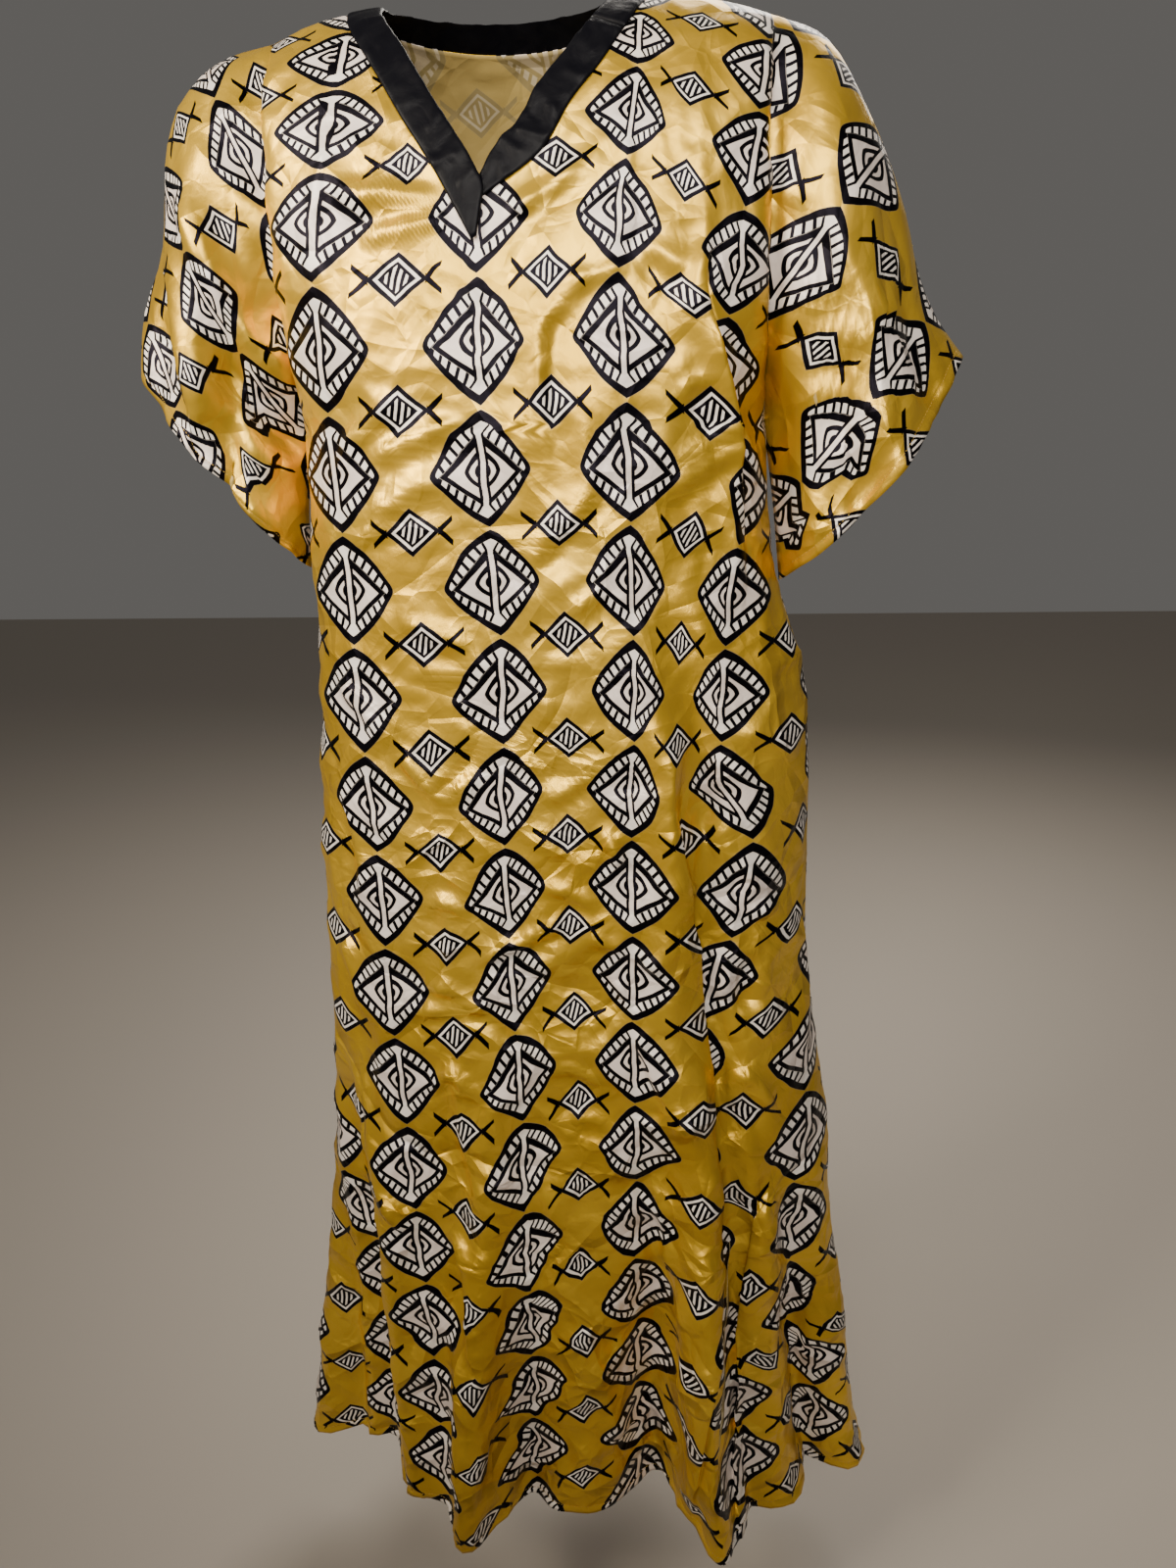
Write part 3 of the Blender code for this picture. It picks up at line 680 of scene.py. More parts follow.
def sleeve_points(side, hand, along, place):
    """Sleeve on one hand (-1 left, 1 right), along from the armhole to the cuff, and placed
    from the overarm seam (0) to the underarm seam (1)."""
    along, place = as_grids(along, place)
    over_x = column_of(OVERARM[hand], "along", "x", along)
    over_z = column_of(OVERARM[hand], "along", "height", along)
    under_x = column_of(UNDERARM[hand], "along", "x", along)
    under_z = column_of(UNDERARM[hand], "along", "height", along)
    armhole = yoke_points(side, hand * YOKE_HALF, place)
    armhole_share = (armhole[..., 2] + YOKE_DROP) / (YOKE_DROP - ARMPIT_DOWN)
    share = armhole_share * (1 - along) + place * along
    x = over_x + (under_x - over_x) * share
    z = over_z + (under_z - over_z) * share
    chord = np.hypot(under_x - over_x, under_z - over_z)
    bow = CUFF_BOW[hand, side] * along * np.sin(np.pi * place)
    x = x - bow * (under_z - over_z) / chord * hand
    z = z + bow * (under_x - over_x) / chord * hand
    stand = (SLEEVE_STAND + (CUFF_STAND - SLEEVE_STAND) * along) * np.sin(np.pi * place) ** RING_POWER
    for fold in SLEEVE_FOLDS:
        near = np.exp(-((place - fold.place) / fold.half_width) ** 2)
        stand = stand + fold.height * ease(along) * near
    rise = ease(along / SLEEVE_RISE)
    depth = (np.abs(armhole[..., 1]) - SEAM_GAP / 2) * (1 - rise) + np.maximum(stand, 0.0) * rise
    return np.stack([x, side * (depth + SEAM_GAP / 2), z], axis=-1)


def neck_curve(table, count):
    """Neckline stretch as evenly spaced rows of (x, step)."""
    x = np.array([row.x for row in table])
    step = np.array([row.step for row in table])
    length = np.concatenate([[0.0], np.cumsum(np.hypot(np.diff(x), STEP_LENGTH * np.diff(step)))])
    wanted = np.linspace(0.0, length[-1], count + 1)
    return np.stack([smooth_value(length, x, wanted), smooth_value(length, step, wanted)], axis=-1)


def panel_top(side):
    """Top edge of a panel, one (x, step) for each column: shoulder, neckline, shoulder."""
    left, right = NECK_LEFT[0].x, NECK_RIGHT[-1].x
    if side < 0:
        neck = np.concatenate([neck_curve(NECK_LEFT, COLUMNS[1]), neck_curve(NECK_RIGHT, COLUMNS[2])[1:]])
    else:
        turn = np.linspace(0.0, np.pi, COLUMNS[1] + COLUMNS[2] + 1)
        x = (left + right) / 2 - (right - left) / 2 * np.cos(turn)
        neck = np.stack([x, BACK_NECK_STEP * np.sin(turn)], axis=-1)
    shoulders = [
        np.stack([np.linspace(start, finish, count + 1), np.zeros(count + 1)], axis=-1)
        for start, finish, count in ((-YOKE_HALF, left, COLUMNS[0]), (right, YOKE_HALF, COLUMNS[3]))
    ]
    return np.concatenate([shoulders[0][:-1], neck, shoulders[1][1:]])


def lapped_places(laps, columns, places, down, place_of):
    """Place of each column on one row, and how far the laps lift it. Where layers lie over
    each other, the columns turn back and forth again."""
    keys, moves = [0.0, 1.0], [0.0, 0.0]
    lift = np.zeros_like(columns)
    for lap in laps:
        ending = ease((lap.rows[-1].down + LAP_GROWTH - down) / LAP_GROWTH)
        grown = float(ease((down - lap.rows[0].down) / LAP_GROWTH) * ending)
        if grown == 0.0:
            continue
        edge = column_of(lap.rows, "down", "edge", down)
        overlap = column_of(lap.rows, "down", "overlap", down)
        slack = LAP_SLACK * (1.0 - overlap / (overlap + LAP_SLACK))
        offsets = np.array([-overlap - LAP_MARGIN, -LAP_CREST, -slack, slack - overlap, LAP_MARGIN])
        lifts = np.array(LAP_LIFTS)
        shares = np.array(LAP_KEYS)
        if lap.points < 0:
            offsets, lifts, shares = -offsets[::-1], lifts[::-1], 1.0 - shares[::-1]
        at = lap.first + (lap.last - lap.first) * shares
        keys += list(at)
        moves += list((place_of(edge + offsets) - np.interp(at, columns, places)) * grown)
        run_out = LAP_RUN_OUT * (lap.last - lap.first)
        outer = np.concatenate([[at[0] - run_out], at, [at[-1] + run_out]])
        shape = smooth_value(outer, np.concatenate([[0.0], lifts, [0.0]]), columns)
        lift += lap.height * grown * shape
    order = np.argsort(keys)
    return places + smooth_value(np.array(keys)[order], np.array(moves)[order], columns), lift


def crease_lift(creases, x, down):
    """How far the listed creases move the cloth out: a ridge, with a shallow trough on its lower side,
    fading at both ends."""
    swayed = []
    for values, seed in ((x, 1.7), (down, 5.2)):
        places = zip(x.ravel() * SWAY_SCALE, down.ravel() * SWAY_SCALE)
        sway = [noise.noise((a, b, seed)) for a, b in places]
        swayed.append(values * 1000 + CREASE_SWAY * np.reshape(sway, x.shape))
    x, down = swayed
    lift = np.zeros_like(x)
    for crease in creases:
        run = np.hypot(crease.x2 - crease.x1, crease.d2 - crease.d1)
        way_x, way_d = (crease.x2 - crease.x1) / run, (crease.d2 - crease.d1) / run
        forth = (x - crease.x1) * way_x + (down - crease.d1) * way_d
        aside = (x - crease.x1) * -way_d + (down - crease.d1) * way_x
        fade = CREASE_FADE * crease.half_width
        ends = ease((forth + fade) / (2 * fade)) * ease((run + fade - forth) / (2 * fade))
        ridge = 1.0 / np.cosh(RIDGE_SHARPNESS * aside / crease.half_width)
        past = (aside - TROUGH_AWAY * crease.half_width) / (TROUGH_HALF * crease.half_width)
        shape = ridge - TROUGH_SHARE * np.exp(-past ** 2)
        lift += CREASE_STRENGTH * crease.height / 1000 * ends * shape
    return lift


def crumple(points, size, seed):
    """Small soft wrinkles with sharp crests, from 0 to about 1, a wrinkle this far apart."""
    return np.array([
        1.0 - abs(noise.noise(Vector(p) / size + Vector((seed, 0, 0)))) * 2.0
        for p in points.reshape(-1, 3)
    ]).reshape(points.shape[:-1])


def normals_of(here, beside, below, side):
    """Outward unit directions, from each point, one beside it and one below it."""
    normal = np.cross(below - here, beside - here) * -side
    return normal / np.maximum(np.linalg.norm(normal, axis=-1, keepdims=True), 1e-12)


def surface_normals(surface, side, places, probes):
    """Outward unit directions of a surface at two places, found by a short step in each."""
    here = surface(*places)
    beside = surface(places[0] + probes[0], places[1])
    below = surface(places[0], places[1] + probes[1])
    turned = np.sign(probes[0]) * np.sign(probes[1])
    return normals_of(here, beside, below, side) * turned[..., None]


# Narrow hems, turned twice and stitched: for the finest rows of cloth, how far they lie from
# the edge, the row with the stitches, and how much the hem swells, sinks and waves
HEM_ROWS = (0.0090, 0.0078, 0.0066, 0.0052, 0.0026, 0.0)
STITCHED_ROW = -4
EDGE_PROBE = 0.002
LONG_PROBE = 0.004
STEP_PROBE = 0.01
HEM_START = 0.0115
HEM_WIDTH = 0.0080
HEM_SWELL = 0.0007
HEM_GROOVE = 0.0010
HEM_WAVES = 0.0030
HEM_STEP = 0.0012
GROOVE_HALF = 0.0009
WAVE_SCALE = 62.0
WAVE_REACH = 0.022
OVERARM_LENGTH = 0.26
UNDERARM_LENGTH = 0.11


def hem_lift(from_edge, points):
    """How far a hem moves the cloth out: double cloth, sunk at the stitches, and wavy."""
    turned = ease((HEM_WIDTH - from_edge) / HEM_STEP)
    groove = np.exp(-((from_edge - HEM_ROWS[STITCHED_ROW]) / GROOVE_HALF) ** 2)
    waves = np.reshape([noise.noise(Vector(p) * WAVE_SCALE) for p in points.reshape(-1, 3)], from_edge.shape)
    near = ease((WAVE_REACH - from_edge) / WAVE_REACH)
    return HEM_SWELL * turned - HEM_GROOVE * groove + HEM_WAVES * waves * near


# Crumpling, small and soft: its height on the body and how much more the skirt has, where
# that starts and over what depth it grows, how far its wrinkles lie apart, and the same for
# the finer ones on the body and those on the sleeves. It is calm near the seams. Next to
# the armhole a sleeve's rings lie closer, and its cloth is tucked in and pulled to the body.
CRUMPLE_HEIGHT = 0.0024
SKIRT_CRUMPLE = 0.0020
SKIRT_START = 0.30
SKIRT_GROWTH = 0.35
CRUMPLE_SIZE = 0.060
FINE_HEIGHT = 0.0013
FINE_SIZE = 0.024
SLEEVE_CRUMPLE = 0.0022
SLEEVE_SIZE = 0.045
CRUMPLE_MEAN = 0.6
TOP_CALM = 0.016
SIDE_SEAM_CALM = 0.02
SLEEVE_CALM = 0.07
RING_SPACING = 1.35
ARMHOLE_TUCK = 0.011
ARMHOLE_PULL = 0.008


def body_points(side, laps, creases):
    """Yoke and body as one grid of points, row by row from the shoulders to the hem."""
    top = panel_top(side)
    columns = np.linspace(0.0, 1.0, len(top))
    rows = np.linspace(0.0, 1.0, YOKE_ROWS + 1)[:, None]
    x = top[:, 0] + (across_to_x(columns) - top[:, 0]) * ease(rows)
    step = top[:, 1] + (1 - top[:, 1]) * rows
    profile = FRONT_PROFILE if side < 0 else BACK_PROFILE
    fall = -column_of(profile, "step", "height", rows[:, 0])
    lapped = [lapped_places(laps, columns, x[r], float(fall[r]), np.array) for r in range(len(x))]
    x = np.array([row[0] for row in lapped])
    inward = np.where(x > 0, -EDGE_PROBE, EDGE_PROBE)
    yoke = yoke_points(side, x, step)
    lower = np.where(step < 0.5, STEP_PROBE, -STEP_PROBE)
    yoke_normal = surface_normals(partial(yoke_points, side), side, (x, step), (inward, lower))
    from_top = np.linalg.norm(yoke - yoke[:1], axis=-1)
    calm = ease(from_top / TOP_CALM)
    yoke_lift = calm * np.array([row[1] for row in lapped])

    down = np.linspace(ARMPIT_DOWN, HEM_DOWN - HEM_START, TRUNK_ROWS + 1)[1:]
    down = np.concatenate([down, HEM_DOWN - np.array(HEM_ROWS)])
    spread = [lapped_places(laps, columns, columns, d, lambda edge_x: across_of(edge_x, d)) for d in down]
    across = np.array([row[0] for row in spread])
    trunk_lift = np.array([row[1] for row in spread])
    deep = np.broadcast_to(down[:, None], across.shape)
    trunk = trunk_points(side, across, deep)
    inward = np.where(across < 0.5, EDGE_PROBE, -EDGE_PROBE)
    trunk_normal = surface_normals(partial(trunk_points, side), side, (across, deep), (inward, -LONG_PROBE))
    calm = np.concatenate([calm, ease(np.minimum(across, 1 - across) / SIDE_SEAM_CALM)])
    base = np.concatenate([yoke, trunk])
    normal = np.concatenate([yoke_normal, trunk_normal])
    lift = np.concatenate([yoke_lift, trunk_lift])
    lift = lift + calm * crease_lift(creases, base[..., 0], -base[..., 2])
    creased = CRUMPLE_HEIGHT + SKIRT_CRUMPLE * ease((-base[..., 2] - SKIRT_START) / SKIRT_GROWTH)
    lift = lift + calm * creased * (crumple(base, CRUMPLE_SIZE, 3.0 * side) - CRUMPLE_MEAN)
    lift = lift + calm * FINE_HEIGHT * (crumple(base, FINE_SIZE, 9.0 * side) - CRUMPLE_MEAN)
    lift = lift + calm * hem_lift(HEM_DOWN + base[..., 2], base)
    return base + normal * lift[..., None]


def sleeve_grid(side, hand, creases):
    """Half sleeve as a grid of points: rows from overarm to underarm, rings to the cuff."""
    place = np.linspace(0.0, 1.0, YOKE_ROWS + 1)[:, None]
    length = OVERARM_LENGTH + (UNDERARM_LENGTH - OVERARM_LENGTH) * place
    rings = np.linspace(0.0, 1.0, SLEEVE_RINGS)[None, 1:] ** RING_SPACING
    along = np.concatenate([rings * (1.0 - HEM_START / length), 1.0 - np.array(HEM_ROWS) / length], axis=1)
    base = sleeve_points(side, hand, along, place)
    probe = np.where(place < 0.5, STEP_PROBE, -STEP_PROBE)
    back = np.where(along > 0.5, -2 * STEP_PROBE, 2 * STEP_PROBE)
    normal = hand * surface_normals(partial(sleeve_points, side, hand), side, (along, place), (back, probe))
    calm = ease(np.minimum(place, 1 - place) / SLEEVE_CALM) * np.ones_like(along)
    lift = calm * crease_lift(creases, base[..., 0], -base[..., 2])
    fine = crumple(base, SLEEVE_SIZE, 5.0 * side + hand) - CRUMPLE_MEAN
    lift = lift + calm * SLEEVE_CRUMPLE * fine
    lift = lift + calm * hem_lift((1.0 - along) * length, base)
    tucked = ease((place - 0.12) / 0.25) * ease((1 - place) / 0.12)
    base = base + normal * lift[..., None]
    base[..., 1] -= side * ARMHOLE_TUCK * tucked * np.exp(-((along - 0.04) / 0.05) ** 2)
    base[..., 0] -= hand * ARMHOLE_PULL * tucked * np.exp(-((along - 0.03) / 0.04) ** 2)
    return base


def grid_faces(index):
    """Quads of a grid of point numbers."""
    rows, columns = index.shape
    return [
        (int(index[r, c]), int(index[r + 1, c]), int(index[r + 1, c + 1]), int(index[r, c + 1]))
        for r in range(rows - 1)
        for c in range(columns - 1)
    ]


# Where the print lies on the front: for each row of shields, the X and depth in millimetres
# of the shields in the columns left of the middle, at the middle, and right of it
Station = namedtuple("Station", "row left left_down middle middle_down right right_down far far_down")
FRONT_STATIONS = [Station(*row) for row in (
    (-4, -110, 5, -22, -10, 88, 5, 172, 20),
    (-3, -113, 40, -22, 35, 87, 35, 170, 62),
    (-2, -123, 85, -22, 80, 84, 85, 163, 113),
    (-1, -137, 145, -22, 145, 74, 145, 152, 182),
    (0, -140, 228, -22, 225, 76, 224, 142, 245),
    (1, -139, 313, -22, 311, 79, 308, 158, 330),
    (2, -134, 398, -18, 388, 80, 388, 150, 405),
    (3, -135, 481, -16, 469, 82, 470, 145, 478),
    (4, -129, 567, -21, 553, 78, 546, 143, 552),
    (5, -125, 645, -21, 632, 77, 626, 136, 640),
    (6, -127, 729, -20, 712, 77, 705, 138, 715),
    (7, -121, 810, -18, 800, 77, 780, 140, 795),
    (8, -120, 898, -18, 885, 78, 860, 143, 880),
    (9, -117, 976, -18, 972, 76, 938, 151, 965),
    (10, -112, 1053, -18, 1051, 76, 1018, 153, 1055),
    (11, -108, 1137, -18, 1127, 76, 1097, 150, 1125),
    (12, -105, 1207, -22, 1203, 74, 1178, 145, 1200),
    (13, -102, 1284, -24, 1280, 73, 1258, 142, 1278),
)]

# Depth at which the far column gives way to even spacing, and over what stretch; how much of
# a fold's depth counts in the print's spacing, which grows to all of it near the sides; and
# how far the rise below reaches to the left and right of the middle
FAR_ENDS = 0.575
FAR_BLEND = 0.08
FOLD_SHARE = 0.3
SMOOTHED_ROWS = 9
SIDE_FROM = 0.70
SIDE_BLEND = 0.2
LEFT_RISE = 0.85
LEFT_SPAN = 0.64
RIGHT_SPAN = 0.42

# The print rises between the middle and right columns: depth, and by how much of a row
Rise = namedtuple("Rise", "down rows")
PRINT_RISE = [Rise(*row) for row in (
    (0.16, 0.0), (0.27, 0.02), (0.43, 0.03), (0.58, 0.10), (0.82, 0.16), (1.05, 0.21), (1.26, 0.20),
)]
PrintAnchor = namedtuple("PrintAnchor", "x down row column tilt share")
SLEEVE_PRINT = {
    -1: PrintAnchor(-0.222, 0.194, 0, -2, math.radians(-24), 0.58),
    1: PrintAnchor(0.195, 0.180, -1, 2, math.radians(38), 0.84),
}


def running(lengths):
    """Sums of lengths along each row of a grid, from 0."""
    return np.concatenate([np.zeros((len(lengths), 1)), np.cumsum(lengths, axis=1)], axis=1)


def smoothed(values):
    """Running mean over a few rows."""
    padded = np.pad(values, SMOOTHED_ROWS // 2, mode="edge")
    return np.convolve(padded, np.ones(SMOOTHED_ROWS) / SMOOTHED_ROWS, mode="valid")


def front_threads(points):
    """Places along the cloth's threads (across and down, in metres) for the front's grid."""
    down = -points[..., 2] * 1000
    x = points[..., 0] * 1000
    steps = np.diff(points, axis=1)
    from_middle = np.abs(np.linspace(-1.0, 1.0, steps.shape[1]))
    fold_share = FOLD_SHARE + (1.0 - FOLD_SHARE) * ease((from_middle - SIDE_FROM) / SIDE_BLEND)
    run = running(np.hypot(steps[..., 0], fold_share * steps[..., 1]))
    found = []
    rows_at = []
    for name in ("left", "middle", "right", "far"):
        depths = [getattr(s, name + "_down") for s in FRONT_STATIONS]
        line = smooth_value(depths, [getattr(s, name) for s in FRONT_STATIONS], down)
        rows_at.append(smooth_value(depths, [s.row for s in FRONT_STATIONS], down))
        off = x - line
        places = []
        for r in range(len(points)):
            signs = np.flatnonzero((off[r, :-1] < 0) & (off[r, 1:] >= 0))
            c = signs[0] if name in ("middle", "right") else signs[-1]
            t = off[r, c] / (off[r, c] - off[r, c + 1])
            places.append(run[r, c] + t * (run[r, c + 1] - run[r, c]))
        found.append(smoothed(places))
    left, middle, right, far = (f[:, None] for f in found)
    pitch = REPEAT_ACROSS / 1000
    across = np.where(run < middle, (run - middle) / (middle - left), (run - middle) / (right - middle))
    across = np.where(run < left, -1 + (run - left) / pitch, across)
    to_far = 1 + (run - right) / (far - right)
    to_far = np.where(run > far, 2 + (run - far) / pitch, to_far)
    by_length = 1 + (run - right) / pitch
    tucked = ease((down / 1000 - FAR_ENDS + FAR_BLEND / 2) / FAR_BLEND)
    across = np.where(run > right, to_far + (by_length - to_far) * tucked, across)
    place = np.clip(across, -1, 2)
    weights = [np.clip(1 - np.abs(place - k), 0, 1) for k in (-1, 0, 1, 2)]
    row = sum(w * r for w, r in zip(weights, rows_at))
    rightward = np.sin(np.pi * np.clip(across, 0.0, 0.5))
    onward = (1 + np.cos(np.pi * np.clip((across - 0.5) / RIGHT_SPAN, 0.0, 1.0))) / 2
    leftward = np.sin(np.pi * np.clip(-across / LEFT_SPAN, 0.0, 1.0)) * np.cos(np.pi * row) ** 2
    rise = column_of(PRINT_RISE, "down", "rows", down / 1000)
    row = row + rise * (rightward * onward - LEFT_RISE * leftward)
    return np.stack([across * pitch, row * REPEAT_DOWN / 1000], axis=-1)


def sleeve_threads(points, edge, chart):
    """Places along the threads for a half sleeve, whose print tilts with its cuff."""
    turn = chart.tilt
    way_v = np.array([-math.sin(turn), math.cos(turn)])
    way_u = np.array([math.cos(turn), math.sin(turn)])
    whole = np.concatenate([edge[:, None], points], axis=1)
    flat = np.stack([whole[..., 0] - chart.x, -whole[..., 2] - chart.down], axis=-1)
    steps = np.diff(whole, axis=0)
    extra = np.linalg.norm(steps, axis=-1) - np.hypot(steps[..., 0], steps[..., 2])
    extra = np.concatenate([np.zeros((1, whole.shape[1])), np.cumsum(extra, axis=0)])
    centre = np.argmin(np.hypot(flat[..., 0], flat[..., 1]))
    extra = extra - extra.ravel()[centre]
    u = flat @ way_u / chart.share + chart.column * REPEAT_ACROSS / 1000
    v = flat @ way_v + extra + chart.row * REPEAT_DOWN / 1000
    return np.stack([u, v], axis=-1)


def cloth_object(name, side, body, sleeves, body_threads, sleeve_threads_of):
    """One panel as a thin shell: its body and half sleeves, with the threads as its UV map."""
    index = np.arange(body.shape[0] * body.shape[1]).reshape(body.shape[:2])
    points = [body.reshape(-1, 3)]
    faces = grid_faces(index)
    places = {}
    threads = [body_threads.reshape(-1, 2)[np.array(faces)]]
    count = index.size
    for hand, edge in ((-1, 0), (1, -1)):
        sleeve = sleeves[hand]
        sleeve_index = count + np.arange(sleeve.shape[0] * sleeve.shape[1]).reshape(sleeve.shape[:2])
        count += sleeve_index.size
        points.append(sleeve.reshape(-1, 3))
        joined = np.concatenate([index[:YOKE_ROWS + 1, edge][:, None], sleeve_index], axis=1)
        local = np.arange(joined.size).reshape(joined.shape)
        flat = sleeve_threads_of[hand].reshape(-1, 2)
        if hand < 0:
            joined, local = joined[:, ::-1], local[:, ::-1]
        faces += grid_faces(joined)
        threads.append(flat[np.array(grid_faces(local))])
    threads = np.concatenate(threads)
    if side > 0:
        faces = [face[::-1] for face in faces]
        threads = threads[:, ::-1]
    mesh = bpy.data.meshes.new(name)
    mesh.from_pydata([tuple(p) for p in np.concatenate(points).tolist()], [], faces)
    layer = mesh.uv_layers.new(name="threads")
    layer.uv.foreach_set("vector", threads.astype(np.float32).ravel())
    mesh.shade_smooth()
    mesh.materials.append(satin_face)
    mesh.materials.append(satin_back)
    cloth = add_object(name, mesh)
    shell = cloth.modifiers.new("Cloth wall", "SOLIDIFY")
    shell.thickness = CLOTH_WALL
    shell.offset = -1.0
    shell.material_offset = 1
    shell.material_offset_rim = 0
    return cloth


STITCH_SPACING = 0.0031
STITCH_LENGTH = 0.0021
THREAD_RADIUS = 0.00026
STITCH_SEED = 4
gold_thread, thread_shader = new_material("gold_thread")
thread_shader.inputs["Base Color"].default_value = (0.52, 0.33, 0.06, 1)
thread_shader.inputs["Roughness"].default_value = 0.5

stitch_tree = bpy.data.node_groups.new("stitch_row", "GeometryNodeTree")
stitch_tree.interface.new_socket("Geometry", in_out="OUTPUT", socket_type="NodeSocketGeometry")
stitch_tree.interface.new_socket("Geometry", in_out="INPUT", socket_type="NodeSocketGeometry")
stitch_inputs = {
    name: stitch_tree.interface.new_socket(name, in_out="INPUT", socket_type="NodeSocket" + kind).identifier
    for name, kind in (("Spacing", "Float"), ("Stitch length", "Float"), ("Thread radius", "Float"),
                       ("Seed", "Int"), ("Thread", "Material"))
}
stitch_start = Field(stitch_tree)
given = stitch_start.node("NodeGroupInput").socket.node.outputs
given = {socket.name: Field(stitch_tree, socket) for socket in given if socket.name}
seam_line = stitch_start.node("GeometryNodeMeshToCurve", {}, {"Mesh": given["Geometry"]})
line_points = {"Curve": seam_line, "Length": given["Spacing"]}
stitch_places = stitch_start.node("GeometryNodeCurveToPoints", {"mode": "LENGTH"}, line_points)
stitch_turns = Field(stitch_tree, stitch_places.socket.node.outputs["Rotation"])
bead = stitch_start.node("GeometryNodeMeshUVSphere", {}, {"Segments": 6, "Rings": 4, "Radius": 1.0})
bead_size = {0: given["Thread radius"], 1: given["Thread radius"], 2: given["Stitch length"] * 0.5}
bead_size = stitch_start.node("ShaderNodeCombineXYZ", {}, bead_size)
one_stitch = stitch_start.node("GeometryNodeTransform", {}, {"Geometry": bead, "Scale": bead_size})
uneven = {0: (0.9, 0.9, 0.85), 1: (1.15, 1.15, 1.1), "Seed": given["Seed"]}
uneven = stitch_start.node("FunctionNodeRandomValue", {"data_type": "FLOAT_VECTOR"}, uneven)
placed = {"Points": stitch_places, "Instance": one_stitch, "Rotation": stitch_turns, "Scale": uneven}
placed = stitch_start.node("GeometryNodeInstanceOnPoints", {}, placed)
real = stitch_start.node("GeometryNodeRealizeInstances", {}, {"Geometry": placed})
painted = stitch_start.node("GeometryNodeSetMaterial", {}, {"Geometry": real, "Material": given["Thread"]})
stitch_end = stitch_tree.nodes.new("NodeGroupOutput")
stitch_tree.links.new(painted.socket, stitch_end.inputs["Geometry"])


def hem_lines(side, body, sleeves):
    """Lines on a panel where its hem and cuffs are stitched."""
    here = body[STITCHED_ROW]
    out = normals_of(here[:-1], here[1:], body[STITCHED_ROW + 1][:-1], side)
    lines = [here[2:-2] + out[2:-1] * THREAD_RADIUS * 0.5]
    for hand, sleeve in sleeves.items():
        here = sleeve[:, STITCHED_ROW]
        out = normals_of(here[:-1], sleeve[:-1, STITCHED_ROW + 1], here[1:], side) * hand
        lines.append(here[1:-2] + out[1:-1] * THREAD_RADIUS * 0.5)
    return lines


def stitches_object(name, lines):
    """Stitches along lines on the cloth, as one plain mesh."""
    points, edges = [], []
    for line in lines:
        first = len(points)
        points += [tuple(p) for p in line.tolist()]
        edges += [(first + k, first + k + 1) for k in range(len(line) - 1)]
    seam = bpy.data.meshes.new(name + "_line")
    seam.from_pydata(points, edges, [])
    row = add_object(name, seam)
    sewing = row.modifiers.new("Stitches", "NODES")
    sewing.node_group = stitch_tree
    values = {
        "Spacing": STITCH_SPACING, "Stitch length": STITCH_LENGTH, "Thread radius": THREAD_RADIUS,
        "Seed": STITCH_SEED, "Thread": gold_thread,
    }
    for key, value in values.items():
        sewing[stitch_inputs[key]] = value
    sewn = row.evaluated_get(bpy.context.evaluated_depsgraph_get())
    row_mesh = bpy.data.meshes.new_from_object(sewn)
    row.modifiers.clear()
    row.data = row_mesh
    row_mesh.shade_smooth()
    return row


def sewn_panel(names, side, body, creases, body_threads, charts):
    """A panel with its half sleeves, and the stitches in its hem and cuffs."""
    sleeves = {hand: sleeve_grid(side, hand, creases) for hand in (-1, 1)}
    edges = {-1: body[:YOKE_ROWS + 1, 0], 1: body[:YOKE_ROWS + 1, -1]}
    threads = {hand: sleeve_threads(sleeves[hand], edges[hand], charts[hand]) for hand in (-1, 1)}
    panel = cloth_object(names[0], side, body, sleeves, body_threads, threads)
    return panel, stitches_object(names[1], hem_lines(side, body, sleeves))


front_body = body_points(-1, FRONT_LAPS, FRONT_CREASES)
front_panel, front_stitches = sewn_panel(
    ("front_satin", "front_hem_stitches"), -1, front_body, SLEEVE_CREASES,
    front_threads(front_body), SLEEVE_PRINT)
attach(front_panel, "root")
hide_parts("front_panel")
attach(front_stitches, "root")


# Back panel: the same satin, cut in one with the back halves of both sleeves, with a
# shallow round neck. Its print and creases follow the front's kind.
BACK_CREASES = [Crease(*row) for row in (
    (-120, 60, -70, 110, 8, 2.4), (-150, 110, -96, 160, 8, 2.8), (120, 70, 78, 118, 8, 2.4),
    (150, 120, 104, 170, 8, 2.8), (-60, 190, -10, 205, 6, 1.8), (20, 240, 70, 225, 6, 2.0),
    (-130, 250, -80, 280, 7, 2.4), (90, 300, 140, 270, 7, 2.4), (-40, 330, 15, 350, 6, 2.0),
    (-100, 395, -52, 376, 6, 2.2), (40, 410, 92, 432, 6, 2.2), (-20, 440, 6, 500, 7, 2.6),
    (-140, 470, -104, 520, 7, 2.8), (110, 500, 150, 470, 7, 2.6), (-80, 548, -36, 570, 6, 2.4),
    (26, 560, 70, 540, 6, 2.4), (-10, 610, 40, 632, 6, 2.6), (-132, 640, -96, 610, 6, 2.6),
    (100, 650, 112, 720, 7, 3.0), (-60, 690, -48, 760, 7, 3.2), (10, 720, 52, 700, 6, 2.8),
    (-160, 740, -138, 820, 8, 3.2), (150, 760, 168, 850, 8, 3.2), (-14, 820, 18, 880, 7, 3.0),
    (-104, 860, -84, 950, 8, 3.2), (70, 870, 92, 960, 8, 3.2), (-30, 960, -22, 1050, 8, 3.0),
    (120, 990, 134, 1090, 8, 3.2), (-180, 960, -168, 1070, 9, 3.4), (30, 1050, 44, 1160, 9, 3.0),
)]
